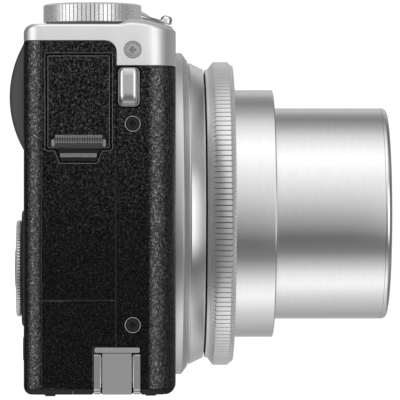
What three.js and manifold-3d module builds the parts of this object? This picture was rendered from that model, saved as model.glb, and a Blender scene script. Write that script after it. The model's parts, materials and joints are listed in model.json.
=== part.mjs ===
// A compact digital camera as an assembly of separate parts.
// Millimetres, +Z up. The lens points along -Y and the grip side is the face at X = -HALF_WIDTH.
// The origin is the centre of the base plate's outer face.
import * as THREE from "three";
import { mergeVertices } from "three/addons/utils/BufferGeometryUtils.js";
import Module from "manifold-3d";

const wasm = await Module();
wasm.setup();

// ---- Driving dimensions ---------------------------------------------------------------------

const HALF_WIDTH = 50;
const BACK_Y = 11.33;
const FRONT_Y = -BACK_Y;
const DECK_Z = 55;
const WALL = 1.2;
const SEAM = 0.08;
const RUN_GAP = 0.3;

const REAR_CORNER_R = 2.6;
const FRONT_CORNER_R = 4.3;
const TOP_REAR_R = 1.4;
const BASE_REAR_R = 1.2;
const BASE_FRONT_R = 1.7;

// The top cover ends at COVER_REAR_Z at the back and reaches down to APRON_Z in front of APRON_Y.
const COVER_REAR_Z = 52.5;
const APRON_Z = 48.8;
const APRON_Y = -2.5;
const APRON_R = 1.8;
const PANEL_BACK_Y = 8.77;
const PANEL_SPLIT_Z = 13.85;
const BASE_T = 0.8;
const HOLLOW_Z = 0.3;
const INNER_TOP_Z = 53.6;

const LENS_X = 9;
const LENS_Z = 26.68;
const TUBE_R = 22.3;
const LENS_HOLE_R = 23.2;
const OUTER_BARREL_R = 19.96;
const OUTER_BARREL_BORE = 17.4;
const OUTER_BARREL_WALL = 1.1;
const BARREL_FLANGE_T = 1.6;
const OUTER_BARREL_FRONT = -28;
const OUTER_BARREL_BACK = -11;
const INNER_BARREL_R = 17.02;
const INNER_BARREL_BORE = 15.4;
const INNER_BARREL_WALL = 0.9;
const INNER_BARREL_BACK = -25.6;
const CELL_BACK = -37.5;
const LENS_FRONT_Y = -46.4;
const RING_FRONT_T = 1;
const APERTURE_R = 8.7;
const BLADE_R = 15.1;
const BLADE_T = 0.35;
const BLADE_LAYERS = [-45.25, -44.65];

const DIAL = { x: -38.5, y: 1.1, r: 7.4, z0: 55.1, z1: 58.4 };
const SHUTTER = { x: -24, y: -4.9, z: 56.9, tilt: THREE.MathUtils.degToRad(12), r: 3.4 };
const COLLAR = { r: 7, top: 6.4, depth: 3.6, chamfer: 0.6 };
const POWER = { x: -9, y: 3, r: 2.5 };
const WHEEL = { x: -34, z: 18.5, r: 7.3 };
const REAR_BUTTONS = {
  movie_button: { x: -28, z: 47.6, r: 1.9 },
  playback_button: { x: -27.5, z: 33.5, r: 2.3 },
  display_button: { x: -40, z: 6.5, r: 2.3 },
};
const BUTTON_PROUD = 0.2;
const HOLE_GAP = 0.15;

const SCREEN = { x0: -20, x1: 47, z0: 3, z1: 51 };
const DOOR = { y0: -1.5, y1: 7.8, z0: 36.5, z1: 50.32, t: 0.8, gap: 0.3 };
const DOOR_PIVOT = { x: -49.45, z: 49.96, r: 0.27 };
const DOOR_FLOOR_X = -49;
const BAY = { x1: -13.2, y0: -9.6, y1: 4, gap: 0.05 };
const HINGE = { x: -49.55, z: 6.565, r: 0.4, y0: -5.86, y1: 0.74 };
const ARM = { y0: -4.7, y1: -0.34 };
const EARS = [
  { y0: -5.98, y1: -4.98 },
  { y0: -0.1, y1: 0.9 },
];
const HINGE_POCKET = { y0: -6.15, y1: 1.05, z1: 7.1 };
const BATTERY = { x0: -46.4, x1: -14.6, y0: -8.7, y1: -0.9, z0: 2.4, z1: 46.4 };
const TRIPOD = { x: 22, y: 0, r: 4.4, bore: 2.7, z1: 5.7 };
const LUG = { y: -4.275, z: 45.6, w: 3.2, h: 5.9, r: 0.8 };
const SIDE_SCREW_Y = -4.86;
const SIDE_SCREWS = { cover_screw: 51.15, side_screw_upper: 40.16, side_screw_lower: 10.3 };
const SCREW_HEAD_R = 1.2;
const FLASH = { x0: 36, x1: 46, z0: 40.2, z1: 46.2 };
const AF_LAMP = { x: -16, z: 46, r: 1.6 };
const FOOT = { h: 0.4, doorH: 0.34, rear: 7.4, front: -7.6, w: 1.9, taper: 0.2, length: 6 };

// ---- Materials ------------------------------------------------------------------------------

function material(color, roughness, metalness, extra = {}) {
  return new THREE.MeshStandardMaterial({ color, roughness, metalness, ...extra });
}

const LEATHERETTE = material(0x1c1c1d, 0.62, 0);
const SATIN_SILVER = material(0xc9cacc, 0.34, 0.9);
const STEEL = material(0x9a9b9d, 0.42, 1);
const BLACK_PLASTIC = material(0x1f2021, 0.5, 0);
const GREY_RUBBER = material(0x4c4d4f, 0.75, 0);
const BOARD_GREEN = material(0x1d4a33, 0.6, 0.1);
const LENS_GLASS = material(0x33384a, 0.05, 0, { transparent: true, opacity: 0.6 });
const DISPLAY_STACK = material(0x121316, 0.4, 0);
const SCREEN_GLASS = material(0x0a0b0e, 0.08, 0);

// ---- Solids: three.js makes the shapes, manifold-3d only joins and cuts them ------------------

function solid(geometry) {
  const bare = geometry.clone();
  bare.deleteAttribute("normal");
  bare.deleteAttribute("uv");
  const merged = mergeVertices(bare, 1e-4);
  const corners = Array.from(merged.index.array);
  const kept = [];
  for (let i = 0; i < corners.length; i += 3) {
    const [a, b, c] = corners.slice(i, i + 3);
    if (a !== b && b !== c && c !== a) kept.push(a, b, c);
  }
  const mesh = new wasm.Mesh({
    numProp: 3,
    vertProperties: new Float32Array(merged.attributes.position.array),
    triVerts: new Uint32Array(kept),
  });
  return new wasm.Manifold(mesh);
}

function geometryOf(made) {
  const mesh = made.getMesh();
  const geometry = new THREE.BufferGeometry();
  geometry.setAttribute("position", new THREE.BufferAttribute(mesh.vertProperties, 3));
  geometry.setIndex(new THREE.BufferAttribute(mesh.triVerts, 1));
  return geometry;
}

function join(first, ...rest) {
  return rest.reduce((made, piece) => made.add(piece), first);
}

function cut(first, ...rest) {
  return rest.reduce((made, piece) => made.subtract(piece), first);
}

// A box whose faces lie exactly at the given values, so that flush faces stay flush.
function block(x0, x1, y0, y1, z0, z1) {
  const geometry = new THREE.BoxGeometry();
  const corners = geometry.attributes.position;
  const pick = (value, low, high) => (value < 0 ? low : high);
  for (let i = 0; i < corners.count; i += 1) {
    const [x, y, z] = [corners.getX(i), corners.getY(i), corners.getZ(i)];
    corners.setXYZ(i, pick(x, x0, x1), pick(y, y0, y1), pick(z, z0, z1));
  }
  return solid(geometry);
}

// Extrudes a shape so that its own axes and its depth run along three given axes.
function prism(shape, depth, axes, place, curveSegments) {
  const geometry = new THREE.ExtrudeGeometry(shape, { depth, bevelEnabled: false, curveSegments });
  const turn = new THREE.Matrix4().makeBasis(...axes);
  turn.setPosition(place);
  geometry.applyMatrix4(turn);
  return solid(geometry);
}

const [AXIS_X, AXIS_Y, AXIS_Z] = [
  new THREE.Vector3(1, 0, 0),
  new THREE.Vector3(0, 1, 0),
  new THREE.Vector3(0, 0, 1),
];

// The shape's own axes are Y and Z.
function prismX(shape, x0, x1, curveSegments = 5) {
  return prism(shape, x1 - x0, [AXIS_Y, AXIS_Z, AXIS_X], new THREE.Vector3(x0, 0, 0), curveSegments);
}

// The shape's own axes are X and Z.
function prismY(shape, y0, y1, curveSegments = 5) {
  const back = AXIS_Y.clone().negate();
  return prism(shape, y1 - y0, [AXIS_X, AXIS_Z, back], new THREE.Vector3(0, y1, 0), curveSegments);
}

// The shape's own axes are X and Y.
function prismZ(shape, z0, z1, curveSegments = 5) {
  return prism(shape, z1 - z0, [AXIS_X, AXIS_Y, AXIS_Z], new THREE.Vector3(0, 0, z0), curveSegments);
}

function rod(r, from, to, segments = 20) {
  const line = to.clone().sub(from);
  const geometry = new THREE.CylinderGeometry(r, r, line.length(), segments);
  geometry.applyQuaternion(new THREE.Quaternion().setFromUnitVectors(AXIS_Y, line.clone().normalize()));
  geometry.translate(...from.clone().add(to).multiplyScalar(0.5).toArray());
  return solid(geometry);
}

function rodX(r, x0, x1, y, z, segments) {
  return rod(r, new THREE.Vector3(x0, y, z), new THREE.Vector3(x1, y, z), segments);
}

function rodY(r, y0, y1, x, z, segments) {
  return rod(r, new THREE.Vector3(x, y0, z), new THREE.Vector3(x, y1, z), segments);
}

function rodZ(r, z0, z1, x, y, segments) {
  return rod(r, new THREE.Vector3(x, y, z0), new THREE.Vector3(x, y, z1), segments);
}

function polygon(points) {
  return new THREE.Shape(points.map(([u, v]) => new THREE.Vector2(u, v)));
}

// A profile of [radius, height] points turned about the local Y axis, whichever way it is listed.
function turned(points, segments = 32) {
  const closed = points[0][0] > 0 ? [...points, points[0]] : points;
  let area = 0;
  closed.forEach(([r, h], i) => {
    const [nextR, nextH] = closed[(i + 1) % closed.length];
    area += r * nextH - nextR * h;
  });
  const listed = area > 0 ? closed : [...closed].reverse();
  const profile = listed.map(([r, h]) => new THREE.Vector2(r, h));
  return new THREE.LatheGeometry(profile, segments);
}

function roundedRectangle(u0, u1, v0, v1, r) {
  const shape = new THREE.Shape();
  shape.moveTo(u0 + r, v0);
  shape.lineTo(u1 - r, v0);
  shape.absarc(u1 - r, v0 + r, r, -Math.PI / 2, 0);
  shape.lineTo(u1, v1 - r);
  shape.absarc(u1 - r, v1 - r, r, 0, Math.PI / 2);
  shape.lineTo(u0 + r, v1);
  shape.absarc(u0 + r, v1 - r, r, Math.PI / 2, Math.PI);
  shape.lineTo(u0, v0 + r);
  shape.absarc(u0 + r, v0 + r, r, Math.PI, 1.5 * Math.PI);
  return shape;
}

// ---- The scene graph ------------------------------------------------------------------------

const camera = new THREE.Group();

function addMesh(name, geometry, look, parent = camera, position = [0, 0, 0]) {
  const mesh = new THREE.Mesh(geometry, look);
  mesh.name = name;
  mesh.position.set(...position);
  parent.add(mesh);
  return mesh;
}

function addSolid(name, made, look, parent = camera) {
  return addMesh(name, geometryOf(made), look, parent);
}

// ---- Body shells ----------------------------------------------------------------------------

// Side outline in Y and Z, with the raised shoulder at the front of the top cover.
function sideOutline() {
  const shoulder = { footY: -3, crestY: -4.36, crestZ: 55.8, bendY: -7.6, frontZ: 53.75 };
  const shape = new THREE.Shape();
  shape.moveTo(FRONT_Y + BASE_FRONT_R, 0);
  shape.lineTo(BACK_Y - BASE_REAR_R, 0);
  shape.absarc(BACK_Y - BASE_REAR_R, BASE_REAR_R, BASE_REAR_R, -Math.PI / 2, 0);
  shape.lineTo(BACK_Y, DECK_Z - TOP_REAR_R);
  shape.absarc(BACK_Y - TOP_REAR_R, DECK_Z - TOP_REAR_R, TOP_REAR_R, 0, Math.PI / 2);
  shape.lineTo(shoulder.footY, DECK_Z);
  shape.lineTo(shoulder.crestY, shoulder.crestZ);
  shape.quadraticCurveTo(shoulder.bendY, shoulder.crestZ, FRONT_Y, shoulder.frontZ);
  shape.lineTo(FRONT_Y, BASE_FRONT_R);
  shape.absarc(FRONT_Y + BASE_FRONT_R, BASE_FRONT_R, BASE_FRONT_R, Math.PI, 1.5 * Math.PI);
  return shape;
}

// Plan outline in X and Y, larger radii at the front corners than at the back.
function planOutline(inset) {
  const x = HALF_WIDTH - inset;
  const y = BACK_Y - inset;
  const front = FRONT_CORNER_R - inset;
  const rear = REAR_CORNER_R - inset;
  const shape = new THREE.Shape();
  shape.moveTo(-x + front, -y);
  shape.lineTo(x - front, -y);
  shape.absarc(x - front, -y + front, front, -Math.PI / 2, 0);
  shape.lineTo(x, y - rear);
  shape.absarc(x - rear, y - rear, rear, 0, Math.PI / 2);
  shape.lineTo(-x + rear, y);
  shape.absarc(-x + rear, y - rear, rear, Math.PI / 2, Math.PI);
  shape.lineTo(-x, -y + front);
  shape.absarc(-x + front, -y + front, front, Math.PI, 1.5 * Math.PI);
  return shape;
}

// The region under the top cover and behind its apron, up to yBack, with the rounded inner corner.
function underCover(yBack, z0) {
  const y = APRON_Y + SEAM;
  const top = COVER_REAR_Z - SEAM;
  const r = APRON_R - SEAM;
  const shape = new THREE.Shape();
  shape.moveTo(y, z0);
  shape.lineTo(yBack, z0);
  shape.lineTo(yBack, top);
  shape.lineTo(y + r, top);
  shape.absarc(y + r, top - r, r, Math.PI / 2, Math.PI);
  return shape;
}

// The region of the top cover: above its stepped lower edge.
function coverRegion() {
  const shape = new THREE.Shape();
  shape.moveTo(FRONT_Y - 2, APRON_Z);
  shape.lineTo(APRON_Y, APRON_Z);
  shape.lineTo(APRON_Y, COVER_REAR_Z - APRON_R);
  shape.absarc(APRON_Y + APRON_R, COVER_REAR_Z - APRON_R, APRON_R, Math.PI, Math.PI / 2, true);
  shape.lineTo(BACK_Y + 2, COVER_REAR_Z);
  shape.lineTo(BACK_Y + 2, DECK_Z + 5);
  shape.lineTo(FRONT_Y - 2, DECK_Z + 5);
  return shape;
}

const blank = prismX(sideOutline(), -HALF_WIDTH, HALF_WIDTH)
  .intersect(prismZ(planOutline(0), -1, DECK_Z + 5));
const hollow = prismZ(planOutline(WALL), HOLLOW_Z, INNER_TOP_Z);
const shell = blank.subtract(hollow);
const shutterAxis = new THREE.Vector3(0, -Math.sin(SHUTTER.tilt), Math.cos(SHUTTER.tilt));
const shutterSeat = new THREE.Vector3(SHUTTER.x, SHUTTER.y, SHUTTER.z);

function onShutterAxis(distance) {
  return shutterSeat.clone().addScaledVector(shutterAxis, distance);
}

// A turned shape stood on the shutter seat, along the tilted axis.
function onShutter(geometry) {
  geometry.applyQuaternion(new THREE.Quaternion().setFromUnitVectors(AXIS_Y, shutterAxis));
  return solid(geometry.translate(...shutterSeat.toArray()));
}

function screwHole(z) {
  return join(
    rodX(SCREW_HEAD_R + HOLE_GAP, -HALF_WIDTH - 1, -49.25, SIDE_SCREW_Y, z, 16),
    rodX(0.75, -49.5, -47, SIDE_SCREW_Y, z, 8),
  );
}

function topCover() {
  const collarProfile = [
    [0, -COLLAR.depth],
    [COLLAR.r, -COLLAR.depth],
    [COLLAR.r, -COLLAR.chamfer],
    [COLLAR.top, 0],
    [0, 0],
  ];
  const collar = onShutter(turned(collarProfile, 28));
  const body = cut(
    join(blank.intersect(prismX(coverRegion(), -60, 60)), collar),
    hollow,
    rod(SHUTTER.r + HOLE_GAP, onShutterAxis(-6), onShutterAxis(1), 20),
    rodY(LENS_HOLE_R, -14, -8, LENS_X, LENS_Z, 48),
    rodZ(1.9, 50, 60, DIAL.x, DIAL.y),
    rodZ(DIAL.r + RUN_GAP, DECK_Z, 60, DIAL.x, DIAL.y, 28),
    rodZ(POWER.r + HOLE_GAP, 50, 60, POWER.x, POWER.y, 20),
    screwHole(SIDE_SCREWS.cover_screw),
  );
  const slots = [-3, 21].flatMap((x) => [x, x + 1.6].map((at) => rodZ(0.4, 50, 60, at, 6.6, 6)));
  addSolid("top_cover", cut(body, ...slots), SATIN_SILVER);
}

function lugOutline(margin) {
  const w = LUG.w / 2 + margin;
  const h = LUG.h / 2 + margin;
  return roundedRectangle(LUG.y - w, LUG.y + w, LUG.z - h, LUG.z + h, LUG.r);
}

function frontCover() {
  const region = block(-60, 60, -20, APRON_Y - SEAM / 2, BASE_T + SEAM, APRON_Z - SEAM);
  const made = cut(
    shell.intersect(region),
    rodY(LENS_HOLE_R, -14, -8, LENS_X, LENS_Z, 48),
    block(FLASH.x0 - HOLE_GAP, FLASH.x1 + HOLE_GAP, -14, -8, FLASH.z0 - HOLE_GAP, FLASH.z1 + HOLE_GAP),
    rodY(AF_LAMP.r + HOLE_GAP, -14, -8, AF_LAMP.x, AF_LAMP.z),
    block(-60, -48.4, HINGE_POCKET.y0, HINGE_POCKET.y1, -1, HINGE_POCKET.z1),
    prismX(lugOutline(HOLE_GAP), -60, -46, 3),
    prismX(lugOutline(HOLE_GAP), 46, 60, 3),
    screwHole(SIDE_SCREWS.side_screw_upper),
    screwHole(SIDE_SCREWS.side_screw_lower),
  );
  addSolid("front_cover", made, LEATHERETTE);
}

function rearCover() {
  const back = block(-60, 1, PANEL_BACK_Y, BACK_Y + 2, BASE_T + SEAM, COVER_REAR_Z - SEAM);
  const side = prismX(underCover(BACK_Y + 2, BASE_T + SEAM), 0, 60);
  const holes = Object.values(REAR_BUTTONS)
    .map(({ x, z, r }) => rodY(r + HOLE_GAP, 8, 14, x, z, 24));
  const made = cut(
    shell.intersect(back.add(side)),
    block(SCREEN.x0, SCREEN.x1, 8, 14, SCREEN.z0, SCREEN.z1),
    rodY(5.2, 8, 14, WHEEL.x, WHEEL.z, 32),
    ...holes,
  );
  addSolid("rear_cover", made, LEATHERETTE);
}

// The connector door's outline in Y and Z: a rectangle with a tapered finger tab below it.
function doorOutline(margin) {
  const y0 = DOOR.y0 - margin;
  const y1 = DOOR.y1 + margin;
  return polygon([
    [y0, DOOR.z0 - margin],
    [0.05 - margin, DOOR.z0 - margin],
    [0.55 - margin, 34.6 - margin],
    [5.8 + margin, 34.6 - margin],
    [6.35 + margin, DOOR.z0 - margin],
    [y1, DOOR.z0 - margin],
    [y1, DOOR.z1 + margin],
    [y0, DOOR.z1 + margin],
  ]);
}

function sidePanels() {
  const yBack = PANEL_BACK_Y - SEAM;
  const upper = prismX(underCover(yBack, PANEL_SPLIT_Z + SEAM), -60, -40);
  const pivotHole = rodY(DOOR_PIVOT.r + 0.12, -2.2, 8.5, DOOR_PIVOT.x, DOOR_PIVOT.z, 12);
  const made = cut(
    shell.intersect(upper),
    prismX(doorOutline(DOOR.gap), -60, DOOR_FLOOR_X),
    block(-60, -45, 0.6, 7.5, 38.4, 49),
    pivotHole,
  );
  addSolid("side_panel_upper", made, LEATHERETTE);
  const lower = block(-60, -40, APRON_Y + SEAM, yBack, BASE_T + SEAM, PANEL_SPLIT_Z);
  const pocket = block(-60, -48.4, HINGE_POCKET.y0, HINGE_POCKET.y1, -1, HINGE_POCKET.z1);
  addSolid("side_panel_lower", cut(shell.intersect(lower), pocket), LEATHERETTE);
}

function footBump(x, y, height = FOOT.h) {
  const half = FOOT.w / 2;
  const outline = polygon([
    [y - half, 0.3],
    [y - half + FOOT.taper, -height],
    [y + half - FOOT.taper, -height],
    [y + half, 0.3],
  ]);
  return prismX(outline, x - FOOT.length / 2, x + FOOT.length / 2);
}

function bottomPlate() {
  const plate = blank.intersect(block(-60, 60, -20, 20, -1, BASE_T));
  const feet = [
    footBump(-43, FOOT.rear),
    footBump(41, FOOT.rear),
    footBump(41, FOOT.front),
    footBump(-9, FOOT.front),
  ];
  const made = cut(
    join(plate, ...feet),
    block(-60, BAY.x1 + BAY.gap, BAY.y0 - BAY.gap, BAY.y1 + BAY.gap, -3, 3),
    rodZ(TRIPOD.r + 0.1, -3, 3, TRIPOD.x, TRIPOD.y, 32),
  );
  addSolid("bottom_plate", made, BLACK_PLASTIC);
}

// ---- Frame, electronics and power inside the body --------------------------------------------

function chassis() {
  const made = cut(
    join(block(-17, 47.5, 6.2, 6.9, 1.4, 51), block(-12, 46, -6, 6.5, 1, 1.9)),
    rodZ(TRIPOD.r + HOLE_GAP, -1, 3, TRIPOD.x, TRIPOD.y, 32),
    block(-8, 6, 5, 8, 8, 44),
    block(12, 26, 5, 8, 8, 44),
    block(32, 42, 5, 8, 8, 44),
  );
  addSolid("chassis_frame", made, STEEL);
  const socket = [
    [TRIPOD.bore, 0.05],
    [TRIPOD.r, 0.05],
    [TRIPOD.r, 2],
    [5.6, 2],
    [5.6, 2.8],
    [TRIPOD.r, 2.8],
    [TRIPOD.r, TRIPOD.z1],
    [TRIPOD.bore, TRIPOD.z1],
  ];
  const mesh = addMesh("tripod_socket", turned(socket, 20), STEEL, camera, [TRIPOD.x, TRIPOD.y, 0]);
  mesh.rotation.x = Math.PI / 2;
}

function electronics() {
  const board = join(
    block(-40.6, 46, 4.6, 5.6, 3, 50),
    block(24, 38, 3.6, 4.7, 20, 34),
    block(-14, -5, 3.6, 4.7, 20, 32),
    block(-36, -28, 3.7, 4.7, 40, 47),
  );
  addSolid("main_board", board, BOARD_GREEN);
  const sensor = join(
    block(LENS_X - 12, LENS_X + 12, 2.2, 3.2, LENS_Z - 9.5, LENS_Z + 9.5),
    block(LENS_X - 7.5, LENS_X + 7.5, 1.6, 2.3, LENS_Z - 6, LENS_Z + 6),
  );
  addSolid("image_sensor", sensor, BLACK_PLASTIC);
  addSolid("screen_module", block(-17.5, 46, 7.1, 10, 4, 50), DISPLAY_STACK);
  const window = prismY(
    roundedRectangle(SCREEN.x0 + 0.1, SCREEN.x1 - 0.1, SCREEN.z0 + 0.1, SCREEN.z1 - 0.1, 0.6),
    10.15, 11.25, 2,
  );
  addSolid("screen_window", window, SCREEN_GLASS);
  const capacitor = addMesh(
    "flash_capacitor", new THREE.CylinderGeometry(4.2, 4.2, 20, 28), BLACK_PLASTIC, camera, [42, -4, 27],
  );
  capacitor.rotation.x = Math.PI / 2;
  addMesh("zoom_motor", new THREE.CylinderGeometry(4, 4, 9.6, 28), STEEL, camera, [36, -4.6, 10]);
}

function socketShell(name, y0, y1, z0, z1) {
  const wall = 0.4;
  const made = cut(
    block(-48.7, -42.5, y0, y1, z0, z1),
    block(-50, -43.2, y0 + wall, y1 - wall, z0 + wall, z1 - wall),
  );
  const tongue = block(-47.8, -43, (y0 + y1) / 2 - 0.3, (y0 + y1) / 2 + 0.3, z0 + 1.4, z1 - 1.4);
  addSolid(name, made.add(tongue), STEEL);
}

function powerAndCard() {
  const { x0, x1, y0, y1, z0, z1 } = BATTERY;
  const cell = prismZ(roundedRectangle(x0, x1, y0, y1, 1.6), z0, z1, 3);
  addSolid("battery", cell, BLACK_PLASTIC);
  const chamber = cut(
    block(x0 - 0.6, x1 + 0.6, y0 - 0.6, y1 + 0.5, z0 - 0.4, z1 + 1.2),
    block(x0 - RUN_GAP, x1 + RUN_GAP, y0 - RUN_GAP, y1 + RUN_GAP, -1, z1 + 0.5),
  );
  addSolid("battery_chamber", chamber, BLACK_PLASTIC);
  const card = polygon([
    [-44.3, 3.4],
    [-20.3, 3.4],
    [-20.3, 33.2],
    [-22.5, 35.4],
    [-44.3, 35.4],
  ]);
  addSolid("memory_card", prismY(card, 0.55, 2.65), BLACK_PLASTIC);
  const slot = block(-46, -18.6, -0.1, 3.3, 2, 37.4);
  addSolid("card_slot", slot.subtract(block(-45.3, -19.3, 0.3, 2.9, 1, 36.4)), STEEL);
}

// ---- Lens: every turned piece shares one axis along Y ------------------------------------------

const lensGroup = new THREE.Group();
lensGroup.position.set(LENS_X, 0, LENS_Z);
camera.add(lensGroup);

function addTurned(name, points, look, segments = 40) {
  return addMesh(name, turned(points, segments), look, lensGroup);
}

function lensBarrels() {
  const trim = [
    [22.65, -9.6],
    [23, -9.6],
    [23, FRONT_Y - 0.05],
    [25.97, FRONT_Y - 0.05],
    [25.97, -13.3],
    [24.6, -14.3],
    [24.3, -14.5],
    [23.3, -16.7],
    [22.65, -16.7],
  ];
  addTurned("lens_trim_ring", trim, SATIN_SILVER);
  const tube = [
    [20.3, -21.2],
    [TUBE_R, -21.2],
    [TUBE_R, 1],
    [12, 1],
    [12, 0.2],
    [20.3, 0.2],
  ];
  addTurned("lens_fixed_tube", tube, BLACK_PLASTIC);
  const ring = [
    [22.6, -17],
    [23.3, -17],
    [24.5, -18.3],
    [24.5, -20.8],
    [23.7, -21.5],
    [22.6, -21.5],
  ];
  addTurned("control_ring", ring, SATIN_SILVER);
  const outer = [
    [OUTER_BARREL_BORE, OUTER_BARREL_FRONT],
    [OUTER_BARREL_R - 0.5, OUTER_BARREL_FRONT],
    [OUTER_BARREL_R, OUTER_BARREL_FRONT + 0.5],
    [OUTER_BARREL_R, OUTER_BARREL_BACK],
    [OUTER_BARREL_R - OUTER_BARREL_WALL, OUTER_BARREL_BACK],
    [OUTER_BARREL_R - OUTER_BARREL_WALL, OUTER_BARREL_FRONT + BARREL_FLANGE_T],
    [OUTER_BARREL_BORE, OUTER_BARREL_FRONT + BARREL_FLANGE_T],
  ];
  addTurned("outer_barrel", outer, SATIN_SILVER);
  const seat = LENS_FRONT_Y + RING_FRONT_T + 0.03;
  const inner = [
    [INNER_BARREL_BORE, seat],
    [INNER_BARREL_R, seat],
    [INNER_BARREL_R, INNER_BARREL_BACK],
    [INNER_BARREL_R - INNER_BARREL_WALL, INNER_BARREL_BACK],
    [INNER_BARREL_R - INNER_BARREL_WALL, CELL_BACK + RUN_GAP],
    [INNER_BARREL_BORE, CELL_BACK + RUN_GAP],
  ];
  addTurned("inner_barrel", inner, SATIN_SILVER);
  const front = [
    [APERTURE_R, LENS_FRONT_Y + RING_FRONT_T],
    [INNER_BARREL_R, LENS_FRONT_Y + RING_FRONT_T],
    [INNER_BARREL_R - 0.3, LENS_FRONT_Y + 0.3],
    [INNER_BARREL_R - 1, LENS_FRONT_Y],
    [11.4, LENS_FRONT_Y],
    [10.6, LENS_FRONT_Y + 0.35],
    [APERTURE_R, LENS_FRONT_Y + 0.6],
  ];
  addTurned("front_ring", front, SATIN_SILVER);
}

function lensOptics() {
  const domeTop = -43.9;
  const element = [
    [0, domeTop],
    [3.2, domeTop + 0.3],
    [6.2, domeTop + 1.1],
    [8.6, domeTop + 2.2],
    [8.6, domeTop + 3.4],
    [0, domeTop + 3.4],
  ];
  addTurned("front_lens_element", element, LENS_GLASS, 28);
  const cell = [
    [8.8, -43.9],
    [15.2, -43.9],
    [15.2, CELL_BACK],
    [6.5, CELL_BACK],
    [6.5, -39.8],
    [8.8, -39.8],
  ];
  addTurned("front_lens_cell", cell, BLACK_PLASTIC, 32);
  const group = [
    [0, -14],
    [4.5, -13.6],
    [8, -12.6],
    [15, -12.6],
    [15, -9],
    [8, -9],
    [8, -8],
    [0, -8],
  ];
  addTurned("rear_lens_group", group, LENS_GLASS, 28);
}

// A barrier blade: the part of a disc beyond a chord, in the plane of the front ring.
function bladeOutline(side) {
  const chord = APERTURE_R + 0.05;
  const start = Math.asin(chord / BLADE_R);
  const shape = new THREE.Shape();
  if (side > 0) shape.absarc(0, 0, BLADE_R, start, Math.PI - start);
  else shape.absarc(0, 0, BLADE_R, Math.PI + start, 2 * Math.PI - start);
  return shape;
}

function barrierBlades() {
  const sides = { upper: 1, lower: -1 };
  for (const [label, side] of Object.entries(sides)) {
    BLADE_LAYERS.forEach((y, layer) => {
      const geometry = new THREE.ExtrudeGeometry(bladeOutline(side), {
        depth: BLADE_T,
        bevelEnabled: false,
        curveSegments: 12,
      });
      const name = "barrier_blade_" + label + "_" + (layer === 0 ? "front" : "rear");
      const mesh = addMesh(name, geometry, BLACK_PLASTIC, lensGroup, [0, y + BLADE_T, 0]);
      mesh.rotation.x = Math.PI / 2;
    });
  }
}

// ---- Controls -------------------------------------------------------------------------------

function standing(mesh) {
  mesh.rotation.x = Math.PI / 2;
  return mesh;
}

function modeDial() {
  const points = [
    [0, 51.8],
    [1.6, 51.8],
    [1.6, DIAL.z0],
    [DIAL.r - 0.3, DIAL.z0],
    [DIAL.r, DIAL.z0 + 0.3],
    [DIAL.r, DIAL.z1 - 0.4],
    [DIAL.r - 0.4, DIAL.z1],
    [0, DIAL.z1],
  ];
  standing(addMesh("mode_dial", turned(points), SATIN_SILVER, camera, [DIAL.x, DIAL.y, 0]));
}

function shutterControls() {
  const group = new THREE.Group();
  group.position.copy(shutterSeat);
  group.rotation.x = Math.PI / 2 + SHUTTER.tilt;
  camera.add(group);
  const button = [
    [0, -3.4],
    [SHUTTER.r, -3.4],
    [SHUTTER.r, 0.25],
    [3.1, 0.65],
    [2.4, 1.05],
    [1.6, 1.32],
    [0, 1.45],
  ];
  addMesh("shutter_button", turned(button, 20), SATIN_SILVER, group);
  const ring = [
    [3.85, 0.2],
    [5.4, 0.2],
    [5.4, 0.45],
    [5.2, 0.6],
    [3.85, 0.6],
  ];
  const grip = new THREE.BoxGeometry(3.6, 1.23, 1.8);
  grip.translate(0, 0.865, 5.35);
  const lever = solid(turned(ring, 24)).add(solid(grip));
  addSolid("zoom_lever", lever, SATIN_SILVER, group);
}

function powerButton() {
  const points = [
    [0, 52],
    [POWER.r, 52],
    [POWER.r, DECK_Z],
    [POWER.r - 0.25, DECK_Z + 0.25],
    [0, DECK_Z + 0.25],
  ];
  standing(addMesh("power_button", turned(points, 20), SATIN_SILVER, camera, [POWER.x, POWER.y, 0]));
}

function rearButtons() {
  for (const [name, { x, z, r }] of Object.entries(REAR_BUTTONS)) {
    const points = [
      [0, 8.4],
      [r, 8.4],
      [r, BACK_Y],
      [r - BUTTON_PROUD, BACK_Y + BUTTON_PROUD],
      [0, BACK_Y + BUTTON_PROUD],
    ];
    addMesh(name, turned(points, 16), BLACK_PLASTIC, camera, [x, 0, z]);
  }
}

// The four-way selector: a gimbal ring, a disc inside it, and the wheel and centre key they carry.
function selector() {
  const place = [WHEEL.x, 0, WHEEL.z];
  const rim = [
    [7.6, BACK_Y + 0.03],
    [9.1, BACK_Y + 0.03],
    [8.5, BACK_Y + 0.46],
    [7.6, BACK_Y + 0.46],
  ];
  addMesh("selector_rim", turned(rim, 32), BLACK_PLASTIC, camera, place);
  const gimbal = [
    [4.7, 8.6],
    [5.6, 8.6],
    [5.6, 9.2],
    [4.7, 9.2],
  ];
  addMesh("selector_gimbal", turned(gimbal, 20), STEEL, camera, place);
  const disc = [
    [0, 8.6],
    [4.4, 8.6],
    [4.4, 9.2],
    [0, 9.2],
  ];
  addMesh("selector_disc", turned(disc, 20), STEEL, camera, place);
  const wheel = [
    [3.3, 9.5],
    [4.4, 9.5],
    [4.4, 11.85],
    [WHEEL.r - 0.2, 11.85],
    [WHEEL.r, 12.05],
    [WHEEL.r, 12.4],
    [WHEEL.r - 0.2, 12.6],
    [3.3, 12.6],
  ];
  addMesh("rear_wheel", turned(wheel, 32), SATIN_SILVER, camera, place);
  const key = [
    [0, 9.9],
    [3.1, 9.9],
    [3.1, 12.6],
    [2.8, 12.8],
    [0, 12.8],
  ];
  addMesh("ok_button", turned(key, 20), SATIN_SILVER, camera, place);
}

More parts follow.
